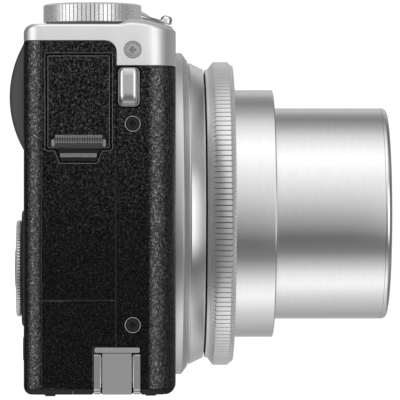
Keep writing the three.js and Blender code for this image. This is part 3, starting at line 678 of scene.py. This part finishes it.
def front_ring():
    front = Box("front_ring")
    radius = Box("inner_barrel").radius
    mouth = 8.7
    lens_part("front_ring_face", [
        (mouth, front.y1), (radius, front.y1, 0.02), (radius, front.y0, 0.75), (11.3, front.y0, 0.1),
        (10.6, front.y0 + 0.35, 0.1), (mouth, front.y0 + 0.6),
    ], SILVER_TURNED, "inner_barrel", "front_ring")


def lens_glass():
    element = Box("front_lens_element")
    radius = element.radius
    rise = 2.2
    steps = 14
    sphere = (radius * radius + rise * rise) / (2 * rise)
    spread = asin(radius / sphere)
    turns = [spread * step / steps for step in range(steps + 1)]
    dome = [(sphere * sin(turn), element.y0 + sphere * (1 - cos(turn))) for turn in turns]
    lens_part("front_element", dome + [(radius, element.y1, 0.1), (0, element.y1)],
              LENS_GLASS, "inner_barrel", "front_lens_element", 96)
    cell = Box("front_lens_cell")
    step = cell.y0 + 4.1
    lens_part("front_cell", [
        (8.8, cell.y0), (cell.radius, cell.y0, 0.1), (cell.radius, cell.y1), (6.5, cell.y1), (6.5, step),
        (8.8, step),
    ], BLACK_MATT, "inner_barrel", "front_lens_cell", 96)


# ---- Top controls ----

def mode_dial():
    dial = Box("mode_dial")
    centre = pivot("mode_dial_turn")
    axis_point = (centre.x, centre.y, 0)
    radius = dial.radius
    low = DECK_Z + 0.3
    count = 72
    lathe("mode_dial_cap", [
        (0, dial.z0), (1.6, dial.z0), (1.6, low), (radius - 0.5, low, 0.1), (radius - 0.36, low + 0.2),
        (radius - 0.3, low + 0.24), (radius, low + 0.3), (radius, dial.z1 - 0.3),
        (radius - 0.15, dial.z1 - 0.16), (radius - 0.36, dial.z1 - 0.06), (radius - 0.6, dial.z1, 0.1),
        (radius - 1.1, dial.z1 - 0.12, 0.1), (0, dial.z1 - 0.12),
    ], SILVER_DIAL, "mode_dial", axis_point, UP, count * 10,
        ribs(count, radius - 0.32, 0.4, 0.42), "mode_dial")
    # A black disc under the dial: painted shadow in the gap between the dial and the deck.
    lathe("mode_dial_gap_shade", [
        (0, DECK_Z - 0.1), (radius - 0.25, DECK_Z - 0.1), (radius - 0.25, low + 0.02), (0, low + 0.02),
    ], BLACK_MATT, "mode_dial", axis_point, UP, 96)
    face = Spindle((centre.x, centre.y, dial.z1 - 0.13), UP)
    for index in range(9):
        spot = face.point(radius - 2.1, radians(40 * index + 15), 0)
        size = 0.45 if index == 0 else 0.24
        lathe(f"dial_mark_{index}", [(0, 0), (size, 0), (size, 0.03), (0, 0.03)],
              BLACK_MATT, "mode_dial", spot, UP, 24)


def shutter_controls():
    """The shutter key, the zoom lever's ring and tab round it, and their collar on the cover."""
    normal, seat = LEVER_AXIS, LEVER_SEAT
    lathe("shutter_cap", [
        (0, -3.4), (3.4, -3.4), (3.4, 0.3, 0.12), (3.1, 0.66, 0.3), (2.4, 1.06, 1.2), (1.5, 1.34, 2.0),
        (0, 1.45),
    ], SILVER_BRIGHT, "shutter_button", seat, normal, 96, replaces="shutter_button")
    lathe("zoom_lever_ring", [
        (3.85, 0.2), (5.35, 0.2, 0.1), (5.4, 0.42, 0.1), (5.15, 0.6, 0.12), (3.85, 0.6, 0.08),
    ], SILVER_BRIGHT, "zoom_lever", seat, normal, 96, replaces="zoom_lever")
    across = Vector((1, 0, 0))
    outward = normal.cross(across) * -1
    half_u, half_v = 1.8, 0.9
    outline = rounded_rectangle(-half_u, half_u, -half_v, half_v, 0.75)
    layers = [(0.25, 0.12), (0.4, 0.0), (0.95, 0.0), (1.2, 0.1), (1.38, 0.28), (1.48, 0.55)]
    loops = []
    for height, inset in layers:
        base = seat + outward * 5.35 + normal * height
        wide, deep = 1 - inset / half_u, 1 - inset / half_v
        loops.append([base + across * u * wide + outward * v * deep for u, v in outline])
    stacked("zoom_lever_tab", loops, SILVER_BRIGHT, "zoom_lever")
    lathe("shutter_collar", [
        (3.6, -2.6), (7.0, -2.6), (7.0, -0.62, 0.2), (6.35, -0.02, 0.12), (3.6, -0.02, 0.1),
    ], SILVER_CAST, CASE, seat, normal, 128)


def power_controls():
    power = Box("power_button")
    radius = power.radius
    lathe("power_cap", [
        (0, power.z0), (radius, power.z0), (radius, power.z1 - 0.12, 0.12),
        (radius - 0.25, power.z1, 0.12), (radius - 0.5, power.z1 - 0.1, 0.1), (0, power.z1 - 0.05),
    ], SILVER_BRIGHT, "power_button", (power.x, power.y, 0), UP, replaces="power_button")
    lathe("power_lamp", [(0, 0), (0.45, 0), (0.45, 0.08, 0.04), (0, 0.1)], LAMP_GLASS,
          CASE, (power.x + 4.2, power.y, DECK_Z - 0.04), UP, 32)


# ---- Top cover ----

FRONT_R, REAR_R = 4.3, 2.6
SHOULDER = {"foot": -3.0, "crest": -4.36, "rise": 0.8, "bend": -7.6, "drop": 1.75}
# Radius of the rounded step in the lower edge, behind the apron.
STEP_R = 1.8


def crown(y):
    """Height of the top cover's upper face: a flat deck, then a raised shoulder that rolls forward."""
    foot, crest, rise = SHOULDER["foot"] + 0.3, SHOULDER["crest"], SHOULDER["rise"]
    if y >= foot:
        return DECK_Z
    if y > crest - 0.2:
        share = (foot - y) / (foot + 0.2 - crest)
        return DECK_Z + rise * share * share * (3 - 2 * share)
    linear = 2 * (crest - SHOULDER["bend"])
    square = 2 * SHOULDER["bend"] - crest - FRONT_Y
    gap = crest - max(y, FRONT_Y)
    t = (-linear + sqrt(linear * linear + 4 * square * gap)) / (2 * square)
    return DECK_Z + rise - SHOULDER["drop"] * t * t


def cover_outline(inset=0.0):
    """Plan outline points on the +X side from front to back, and their outward normals."""
    first, last = FRONT_Y + FRONT_R, BACK_Y - REAR_R
    path = [(FRONT_R, first, radians(-90 + 90 * step / 14)) for step in range(15)]
    side = [first + (APRON_Y - first) * step / 12 for step in range(1, 12)]
    side += [APRON_Y - 0.004, APRON_Y]
    side += [APRON_Y + STEP_R * (1 - cos(radians(90 * step / 8))) for step in range(1, 9)]
    side += [side[-1] + (last - side[-1]) * step / 10 for step in range(1, 10)]
    path += [(0, y, 0) for y in side]
    path += [(REAR_R, last, radians(9 * step)) for step in range(11)]
    result = []
    for radius, y, angle in path:
        normal = Vector((cos(angle), sin(angle)))
        result.append((Vector((HALF_X - radius, y)) + normal * (radius - inset), normal))
    return result


def lower_edge(y):
    """Height of the cover's lower edge: an apron at the front, a rounded step up at its back."""
    if y < APRON_Y - 0.002:
        return APRON_Z
    run = min(1.0, (y - APRON_Y) / STEP_R)
    return COVER_REAR_Z - STEP_R + STEP_R * sqrt(max(0.0, 1 - (1 - run) ** 2))


# Inset from the side and drop below the crown, up the soft bevel of the shoulder.
SHOULDER_BEVEL = [
    (0, 0.95), (0.02, 0.84), (0.07, 0.74), (0.16, 0.64), (0.34, 0.53),
    (0.6, 0.4), (0.95, 0.24), (1.3, 0.1), (1.7, 0.02), (2.0, 0),
]


def edge_profile(y, normal):
    """Inset and drop pairs from the cover's side up to its top face.

    The deck has a small round edge, the shoulder a wide soft bevel, and the back a large round.
    """
    raised = min(1.0, max(0.0, (crown(y) - DECK_Z) / SHOULDER["rise"]))
    if y < SHOULDER["crest"]:
        raised = 1.0
    bevel = raised * normal.x * normal.x
    round_edge = 0.22 if normal.y < 0 else 0.45 + 0.95 * normal.y * normal.y
    pairs = []
    for step, wide in enumerate(SHOULDER_BEVEL):
        angle = radians(10 * step)
        circle = (round_edge * (1 - cos(angle)), round_edge * (1 - sin(angle)))
        pairs.append(tuple(c + (w - c) * bevel for c, w in zip(circle, wide)))
    return pairs


def top_cover():
    """The cover's shell: up the inside wall, out under its lower edge, and up over the outside."""
    ceiling = DECK_Z - 1.4
    wall = [point for point, _ in cover_outline(1.2)]
    lip = [point for point, _ in cover_outline(0.1)]
    rim = cover_outline()
    edges = [lower_edge(point.y) for point, _ in rim]
    profiles = [edge_profile(point.y, normal) for point, normal in rim]
    layers = [
        [(point, min(ceiling, crown(point.y) - 0.6)) for point in wall],
        list(zip(wall, edges)),
        list(zip(lip, edges)),
        [(point, z + 0.1) for (point, _), z in zip(rim, edges)],
    ]
    for step in range(len(SHOULDER_BEVEL)):
        layer = []
        for (point, normal), profile in zip(rim, profiles):
            inset, drop = profile[step]
            inner = point - normal * inset
            layer.append((inner, crown(inner.y) - drop))
        layers.append(layer)
    half = len(rim)
    count = 2 * half
    points, faces = [], []
    for layer in layers:
        points += [(p.x, p.y, z) for p, z in layer]
        points += [(-p.x, p.y, z) for p, z in reversed(layer)]
    for row in range(len(layers) - 1):
        faces += band(row * count, (row + 1) * count, count)
    top = (len(layers) - 1) * count
    for index in range(half - 1):
        left, right = top + index, top + count - 1 - index
        faces.append([left, left + 1, right - 1, right])
        left, right = index, count - 1 - index
        faces.append([right, right - 1, left + 1, left])
    obj = make("top_cover_shell", points, faces, SILVER_CAST, CASE, "top_cover", 25)
    straighten(obj)
    for cutter in cover_holes():
        cut(obj, cutter)


def cover_holes():
    """Rods for the holes of the controls, the screw and the lens, and the two sound grids."""
    dial, power, screw_box = Box("mode_dial"), Box("power_button"), Box("cover_screw")
    below = DECK_Z - 4
    side_screw = (screw_box.x0 - 1, screw_box.y, screw_box.z)
    rods = [
        drill((dial.x, dial.y, DECK_Z), UP, dial.radius + 0.3, 6, 128),
        drill((dial.x, dial.y, below), UP, 1.9, 6, 32),
        drill((power.x, power.y, below), UP, power.radius + 0.12, 8, 64),
        drill(LEVER_SEAT - LEVER_AXIS * 7, LEVER_AXIS, 3.57, 10, 64),
        drill(side_screw, (1, 0, 0), 1.32, 1.75, 48),
        drill((LENS.x, FRONT_Y - 3, LENS.z), (0, 1, 0), 23.2, 5, 128),
    ]
    for x in (-3, 21):
        for column in range(5):
            for row in range(2):
                rods.append(drill((x + 0.9 * column, 6.2 + 0.9 * row, below), UP, 0.26, 8, 16))
    return rods


# ---- Grip side ----

def connector_door():
    door = Box("connector_door")
    hinge = pivot("connector_door_hinge")
    face = -HALF_X
    y0, y1 = door.y0 + 0.5, door.y1 - 0.5
    z0, z1 = door.z0 + 1.9, door.z1
    body = "connector_door"
    prism("door_plate", rounded_rectangle(y0, y1, z0, z1, 0.25), face, face + 0.75, "X", LEATHER,
          body, 0.1, "connector_door")
    tab = [(y0 + 1.55, z0 + 0.05), (y0 + 2.05, door.z0), (y1 - 2.0, door.z0), (y1 - 1.45, z0 + 0.05)]
    prism("door_tab", tab, face + 0.42, face + 0.75, "X", BLACK_MATT, body, 0.08)
    # The grey bead round the door's edge is a painted edge highlight.
    edge = rounded_rectangle(y0 + 0.1, y1 - 0.1, z0 + 0.1, z1 - 0.1, 0.25)
    bead("door_edge", [(face, y, z) for y, z in edge], 0.055, GREY_EDGE, body, closed=True)
    foot = z0 + 0.2
    ridge = [(y0 + 0.62, foot), (y1 - 0.6, foot), (y1 - 0.7, foot + 0.85), (y1 - 1.25, foot + 1.75),
             (y0 + 1.25, foot + 1.75), (y0 + 0.75, foot + 0.85)]
    # The ridge, its rows, the tab and the flares are one plastic in three greys: the lighter greys are painted
    # highlights.
    prism("door_ridge", ridge, face - 0.22, face + 0.1, "X", GREY_SEAM, body, 0.1)
    span = (y0 + 1.15, y1 - 1.15)
    rows = {"high": (1.34, 1.8, GREY_RIDGE), "middle": (0.9, 1.2, GREY_EDGE), "low": (0.6, 0.86, GREY_RIDGE)}
    for row, (low, high, shade) in rows.items():
        ribbed(f"door_grip_{row}", "Y", span, (face, face - 0.14, face - 0.34), 0.36,
               (foot + low, foot + high), shade, body)
    ribbed("door_grip_tab", "Y", (y0 + 1.95, y1 - 1.88), (face + 0.5, face + 0.2, face + 0.08), 0.3,
           (door.z0 + 0.6, door.z0 + 1.2), GREY_RIDGE, body)
    for index, (low, high) in enumerate([(y0 + 0.62, y0 + 1.1), (y1 - 1.1, y1 - 0.6)]):
        flare = rounded_rectangle(low, high, foot + 0.05, foot + 1.15, 0.2)
        prism(f"door_flare_{index}", flare, face - 0.28, face, "X", GREY_RIDGE, body)
    pin_r, end = 0.27, 0.45
    lathe("door_hinge_pin", [
        (0, y0 - end), (pin_r, y0 - end, 0.06), (pin_r, y1 + end, 0.06), (0, y1 + end),
    ], BLACK_MATT, body, (hinge.x, 0, hinge.z), steps=32)
    gap = 0.36
    notch = [
        (y1 + gap, z1 + gap), (y0 - gap, z1 + gap), (y0 - gap, z0 - 0.1), (y0 - 0.05, z0 - gap),
        (y0 + 1.0, z0 - gap), (y0 + 1.2, z0 - gap - 0.16), (y0 + 1.86, door.z0 - 0.18),
        (y0 + 2.02, door.z0 - 0.31), (y1 - 1.92, door.z0 - 0.31), (y1 - 1.76, door.z0 - 0.18),
        (y1 - 1.15, z0 - gap - 0.16), (y1 - 0.95, z0 - gap), (y1, z0 - gap), (y1 + gap, z0 - 0.1),
    ]
    # The grey bead round the opening is a painted edge highlight.
    bead("door_opening_edge", [(face + 0.02, y, z) for y, z in notch], 0.06, GREY_EDGE,
         CASE, closed=True)


def panel_edges():
    """The fine edges beside the panel seams, and a black strip of painted shade in the gap behind the battery
    door.
    """
    upper, lower, door = Box("side_panel_upper"), Box("side_panel_lower"), Box("battery_door")
    # A black strip in the battery door's seam: painted shade where light would show through the gap.
    ends = [(-HALF_X + 0.04, door.y1 + 0.075, z) for z in (0.08, door.z1 - 0.02)]
    bead("battery_door_gap_shade", ends, 0.06, BLACK_MATT, CASE)
    rear, front, split = upper.y1 - 0.05, upper.y0 + 0.05, upper.z0 + 0.05
    lines = {
        "rear": [(rear, lower.z0 + 0.4), (rear, upper.z1 - 0.5)],
        "split": [(rear - 0.05, split), (front + 0.05, split)],
        "front": [(front, Box("hinge_pin").z1 + 0.4), (front, APRON_Z - 12.2)],
    }
    for name, line in lines.items():
        points = [(-HALF_X + 0.02, y, z) for y, z in line]
        bead(f"seam_{name}", points, 0.04, GREY_SEAM, CASE)


def strap_lug(node, side):
    """A thin rim round a rounded bar, which dives in at its foot to let the strap behind it."""
    lug = Box(node)
    proud = HALF_X + 0.15
    rim = 0.14
    outer = rounded_rectangle(lug.y0, lug.y1, lug.z0, lug.z1, 0.8)
    inner = rounded_rectangle(lug.y0 + rim, lug.y1 - rim, lug.z0 + rim, lug.z1 - rim, 0.8 - rim)
    middle = Vector((lug.y, lug.z))

    def loop(outline, margin, depth):
        spokes = [Vector(point) - middle for point in outline]
        moved = [middle + spoke - spoke.normalized() * margin for spoke in spokes]
        return [(side * (proud - depth), *place) for place in moved]

    stacked(f"{node}_rim", [
        loop(outer, 0, 2.0), loop(outer, 0, 0.22), loop(outer, 0.04, 0.08), loop(inner, 0, 0.06),
        loop(inner, 0.02, 0.14), loop(inner, 0.04, 0.5), loop(inner, 0.04, 2.0),
    ], STEEL_SATIN, CASE, node, closed=True)
    columns, rows = 28, 48
    half_y, half_z = (lug.y1 - lug.y0) / 2 - rim, (lug.z1 - lug.z0) / 2 - rim

    def fall(place, flat):
        """How far a place is past the flat middle, squared: 0 there and 1 at the end."""
        return (max(0.0, place - flat) / (1 - flat)) ** 2

    points = []
    for row in range(rows + 1):
        v = 2 * row / rows - 1
        for column in range(columns + 1):
            u = 2 * column / columns - 1
            depth = 0.2 + 0.62 * fall(abs(u), 0.4) + 0.2 * fall(v, 0.6) + 0.8 * fall(-v, 0.3)
            points.append((side * (proud - depth), lug.y + u * half_y, lug.z + v * half_z))
    bar = make(f"{node}_bar", points, grid(rows, columns), STEEL_BRIGHT, CASE, sharp=80)
    thick = bar.modifiers.new("thick", "SOLIDIFY")
    thick.thickness = 0.25 * MM
    thick.offset = side


def screw(node, head):
    """A recessed screw: a dark or silver head with a bright lip and a cross recess."""
    box = Box(node)
    radius = (box.y1 - box.y0) / 2
    origin = Vector((box.x0, box.y, box.z))
    outward = (-1, 0, 0)
    obj = lathe(f"{node}_head", [
        (0, -0.04), (0.72 * radius, -0.04, 0.1), (0.77 * radius, -0.14, 0.03),
        (0.83 * radius, -0.14, 0.03), (0.87 * radius, -0.05, 0.05), (0.95 * radius, -0.03, 0.05),
        (radius, -0.12), (radius, -0.7), (0.6, -0.7), (0.6, -2.4), (0, -2.4),
    ], head, CASE, origin, outward, replaces=node)
    reach = 0.42 * radius
    for along in (Vector((0, 1, 0)), Vector(UP)):
        cut(obj, drill(origin - along * reach, along, 0.3, 2 * reach, 4))
    # On the dark screws this bright steel lip is a painted highlight round the rim.
    lathe(f"{node}_lip", [
        (0.88 * radius, -0.12), (0.9 * radius, 0.0, 0.03), (0.97 * radius, 0.03, 0.06),
        (radius, -0.12),
    ], SCREW_STEEL, CASE, origin, outward)


def hinge():
    """The flat cross bar, painted highlights along the ears' edges and steps, and painted shade lines across the
    arm.
    """
    pin = Box("hinge_pin")
    bar = rounded_rectangle(pin.y0 - 0.06, pin.y1 + 0.06, pin.z0, pin.z1 + 0.02, 0.2)
    prism("hinge_bar", bar, pin.x0 - 0.02, pin.x1, "X", HINGE_STEEL, CASE, 0.1, "hinge_pin")
    ears = Box("hinge_bracket")
    face = ears.x0 - 0.01
    # Bright silver beads on the steel ears: painted highlights along their edges and steps.
    for name, y_out, y_in in [("rear", ears.y1, ears.y1 - 1), ("front", ears.y0, ears.y0 + 1)]:
        lines = {f"edge_{name}": [(y_out, ears.z1 - 0.05), (y_in, ears.z1 - 0.05), (y_in, ears.z0 + 0.95)]}
        for step in range(2):
            height = ears.z0 + 0.25 + 0.4 * step
            lines[f"step_{name}_{step}"] = [(y_out, height), (y_in, height)]
        for line, path in lines.items():
            bead(f"ear_{line}", [(face, y, z) for y, z in path], 0.07, SILVER_BRIGHT, CASE)
    arm = Box("battery_door_arm")
    # Darker steel lines across the arm: painted shade for the bands of its bend.
    for index, height in enumerate((5.25, 5.55)):
        ends = [(arm.x0, arm.y0 + 0.1, height), (arm.x0, arm.y1 - 0.1, height)]
        bead(f"arm_line_{index}", ends, 0.03, EAR_STEEL, "battery_door")


# ---- Back ----

def thumb_rest():
    """A soft rubber pad: an arc from top to bottom that is rounded off at both ends."""
    pad = Box("thumb_rest")
    across, tall = 28, 48
    rise = pad.y1 - BACK_Y
    half = (pad.z1 - pad.z0) / 2
    radius = (half * half + rise * rise) / (2 * rise)
    points = []
    for row in range(tall + 1):
        z = pad.z0 + (pad.z1 - pad.z0) * row / tall
        arc = sqrt(max(0.0, radius * radius - (z - pad.z) ** 2)) - (radius - rise)
        for column in range(across + 1):
            share = 2 * column / across - 1
            x = pad.x + share * pad.width / 2
            lift = (1 - abs(share) ** 8) ** 0.4
            groove = 0.05 * (0.5 + 0.5 * cos(2 * pi * 7 * share)) if abs(share) < 0.72 else 0.0
            points.append((x, BACK_Y + 0.03 + max(0.0, arc * lift - groove * min(1.0, arc)), z))
    faces = grid(tall, across)
    wide = across + 1
    border = list(range(wide)) + [wide * row + across for row in range(1, tall + 1)]
    border += [wide * tall + column for column in range(across - 1, -1, -1)]
    border += [wide * row for row in range(tall - 1, 0, -1)]
    base = len(points)
    points += [(points[index][0], BACK_Y - 0.1, points[index][2]) for index in border]
    for index, corner in enumerate(border):
        after = (index + 1) % len(border)
        faces.append([corner, border[after], base + after, base + index])
    faces.append([base + index for index in range(len(border))])
    straighten(make("thumb_pad", points, faces, GREY_RUBBER, CASE, "thumb_rest", 60))


def selector():
    wheel = Box("rear_wheel")
    radius = wheel.radius
    centre = Vector((wheel.x, 0, wheel.z))
    count = 96
    low = BACK_Y + 0.52
    lathe("wheel_ring", [
        (3.3, wheel.y0), (4.4, wheel.y0), (4.4, low), (radius - 0.3, low, 0.08), (radius, low + 0.17),
        (radius, low + 0.55), (radius - 0.12, low + 0.67), (radius - 0.35, wheel.y1, 0.08),
        (5.9, wheel.y1), (5.7, wheel.y1 - 0.12, 0.1), (4.2, wheel.y1 - 0.12, 0.1),
        (3.6, wheel.y1, 0.08), (3.3, wheel.y1 - 0.1),
    ], SILVER_DIAL, "rear_wheel", centre, steps=count * 8, groove=ribs(count, radius - 0.2, 0.3, 0.4),
        replaces="rear_wheel")
    rim = Box("selector_rim")
    inside = 7.6
    lathe("selector_ring", [
        (inside, rim.y0), (rim.radius, rim.y0, 0.05), (8.5, rim.y1, 0.25), (inside, rim.y1, 0.1),
    ], BLACK_MOULDED, CASE, centre, steps=128, replaces="selector_rim")
    key = Box("ok_button")
    edge = key.radius
    lathe("centre_key", [
        (0, key.y0), (edge, key.y0), (edge, key.y1 - 0.25, 0.1), (edge - 0.35, key.y1, 0.12),
        (edge - 0.7, key.y1 - 0.08, 0.1), (0, key.y1 - 0.14),
    ], SILVER_BRIGHT, "ok_button", centre, replaces="ok_button")
    centre.y = wheel.y1 - 0.13
    for index in range(4):
        angle = radians(90 * index)
        spoke = Vector((cos(angle), 0, sin(angle))) * 4.95
        lathe(f"wheel_mark_{index}", [(0, -0.02), (0.32, -0.02), (0.32, 0.05, 0.03), (0, 0.06)],
              BLACK_MATT, "rear_wheel", centre + spoke, steps=24)


def back_button(node):
    """A raised key on a wider foot. Returns the middle of its face."""
    box = Box(node)
    radius = box.radius
    lathe(f"{node}_cap", [
        (0, box.y0), (radius, box.y0), (radius, box.y0 + 0.6), (radius - 0.4, box.y0 + 0.6),
        (radius - 0.4, box.y1 - 0.18, 0.1), (radius - 0.6, box.y1, 0.1),
        (radius - 0.85, box.y1 - 0.04, 0.1), (0, box.y1 - 0.08),
    ], BLACK_MOULDED, node, (box.x, 0, box.z), replaces=node)
    return Vector((box.x, box.y1 - 0.09, box.z))


def back_buttons():
    """Three keys, marked with a red dot, an arrow and three bars."""
    spot = back_button("movie_button")
    lathe("movie_dot", [(0, 0), (0.55, 0), (0.55, 0.05, 0.03), (0, 0.06)], RED_DOT, "movie_button",
          spot, steps=32)

    def mark(name, outline, node):
        prism(name, outline, spot.y, spot.y + 0.05, "Y", WHITE_MARK, node, 0.015)

    spot = back_button("playback_button")
    mark("playback_arrow", [
        (spot.z - 0.55, spot.x + 0.45), (spot.z + 0.55, spot.x + 0.45), (spot.z, spot.x - 0.6),
    ], "playback_button")
    spot = back_button("display_button")
    for index in range(3):
        height = spot.z - 0.45 + 0.4 * index
        bar = rounded_rectangle(height, height + 0.14, spot.x - 0.6, spot.x + 0.6, 0.05)
        mark(f"display_bar_{index}", bar, "display_button")


def flash():
    window = Box("flash_window")
    ribbed("flash_lens", "X", (window.x0, window.x1), (window.y1, window.y0 + 0.25, window.y0), 0.5,
           (window.z0, window.z1), FLASH_GLASS, CASE, "flash_window")
    outline = rounded_rectangle(window.x0 - 0.1, window.x1 + 0.1, window.z0 - 0.1, window.z1 + 0.1, 0.5)
    points = [(x, FRONT_Y + 0.05, z) for x, z in outline]
    bead("flash_frame", points, 0.12, BLACK_MOULDED, CASE, closed=True)


# ---- Studio ----

# Brightness of the studio, by degrees above the camera's direction. The far side is 180.
RISE = [
    (-180, 0.5), (-146, 0.4), (-125, 0.55), (-105, 0.75), (-84, 1.15), (-70, 1.0), (-57, 0.62),
    (-43, 0.22), (-26, 0.14), (-9, 0.38), (0, 0.5), (7, 0.6), (24, 0.84), (41, 1.05), (62, 1.3),
    (78, 1.08), (93, 0.82), (108, 0.45), (125, 0.24), (138, 0.36), (150, 0.6), (180, 0.5),
]
# The same by degrees round from the camera's direction towards the lens side.
ROUND = [
    (-180, 0.25), (-145, 0.12), (-120, 0.03), (-108, 0.02), (-96, 0.14), (-82, 0.8), (-62, 1.6),
    (-42, 1.05), (-28, 0.5), (-14, 0.5), (0, 0.8), (9, 0.85), (18, 1.35), (32, 1.7), (46, 1.05),
    (57, 0.36), (72, 0.12), (90, 0.08), (110, 0.3), (130, 0.3), (180, 0.25),
]
# Strength of the white that the camera sees behind and under the object.
WHITE_LEVEL = 1.05


def world_light():
    """White behind the object. Reflections and light come from soft panels of chosen brightness."""
    world = bpy.data.worlds.new("studio")
    bpy.context.scene.world = world
    world.use_nodes = True
    graph = Graph(world.node_tree)
    graph.nodes.clear()
    x, y, z = graph.split(graph.add("ShaderNodeTexCoord").outputs["Generated"])
    toward = graph.calc("MULTIPLY", x, -1.0)
    lensward = graph.calc("MULTIPLY", y, -1.0)

    def panels(height, table):
        """The brightness in a table, by the angle of the height against the camera's direction."""
        angle = graph.calc("ARCTAN2", height, toward)
        share = graph.calc("MULTIPLY_ADD", angle, 1 / (2 * pi), 0.5)
        strongest = max(value for _, value in table)
        stops = [((degrees + 180) / 360, value / strongest) for degrees, value in table]
        return graph.calc("MULTIPLY", graph.ramp(share, stops), strongest)

    def past(value, low, high):
        """Goes softly from 0 to 1 while the size of the value goes from low to high."""
        return graph.smooth(graph.calc("ABSOLUTE", value), low, high)

    level = graph.calc("SUBTRACT", 1.0, past(z, 0.28, 0.6))
    sideways = graph.calc("MULTIPLY", past(y, 0.2, 0.42), level)
    shade = graph.calc("MULTIPLY_ADD", past(y, 0.34, 0.6), -0.7, 1.0)
    around = graph.calc("MULTIPLY", panels(z, RISE), shade)
    mixed = graph.add("ShaderNodeMix", {
        "Factor": sideways, "A": around, "B": panels(lensward, ROUND),
    }, data_type="FLOAT")
    white = {"Color": (1, 1, 1, 1), "Strength": WHITE_LEVEL}
    graph.add("ShaderNodeOutputWorld", {"Surface": graph.blend(
        graph.add("ShaderNodeLightPath").outputs["Is Camera Ray"],
        graph.add("ShaderNodeBackground", {**white, "Strength": mixed}),
        graph.add("ShaderNodeBackground", white),
    )})


def pale_floor():
    """A white floor below the reach of the open battery door.

    Only the camera sees it, and only from above.
    """
    reach = 2.0
    height = CAD_BOX[0][2] - 40 * MM
    corners = [(-reach, -reach), (reach, -reach), (reach, reach), (-reach, reach)]
    mesh = bpy.data.meshes.new("floor")
    mesh.from_pydata([(x, y, height) for x, y in corners], [], [(0, 1, 2, 3)])
    floor = linked("floor", mesh)
    for ray in ("diffuse", "glossy", "transmission", "shadow"):
        setattr(floor, f"visible_{ray}", False)
    material, graph, shader = new_material("pale_floor")
    graph.nodes.remove(shader)
    graph.feed(graph.nodes["Material Output"], {"Surface": graph.blend(
        graph.add("ShaderNodeNewGeometry").outputs["Backfacing"],
        graph.add("ShaderNodeEmission", {"Strength": WHITE_LEVEL}),
        graph.add("ShaderNodeBsdfTransparent"),
    )})
    mesh.materials.append(material)


def studio_camera():
    """Looks at the grip side from 0.645 m, with the lens to the right."""
    camera = bpy.data.cameras.new("camera")
    camera.sensor_width = 36
    camera.lens = 391.5
    camera.clip_start = 0.01
    camera.clip_end = 20
    obj = linked("camera", camera)
    obj.location = (-0.695, 0.00147, 0.02886)
    turn_to_lens = -0.0252874
    obj.rotation_euler = Vector((1, turn_to_lens, 0)).to_track_quat("-Z", "Y").to_euler()
    bpy.context.scene.camera = obj


dress_cad_nodes()
lens_rings()
barrel("outer_barrel", 18.86, 17.4, 1.6, 0.22, 0.15)
barrel("inner_barrel", 16.12, 15.4, 8.17, 0.02, 0)
front_ring()
lens_glass()
mode_dial()
shutter_controls()
power_controls()
top_cover()
connector_door()
panel_edges()
hinge()
strap_lug("strap_lug_grip", -1)
strap_lug("strap_lug_left", 1)
screw("cover_screw", SCREW_STEEL)
screw("side_screw_upper", BLACK_MATT)
screw("side_screw_lower", BLACK_MATT)
thumb_rest()
selector()
back_buttons()
flash()
world_light()
pale_floor()
studio_camera()
bpy.context.scene.view_settings.view_transform = "Standard"
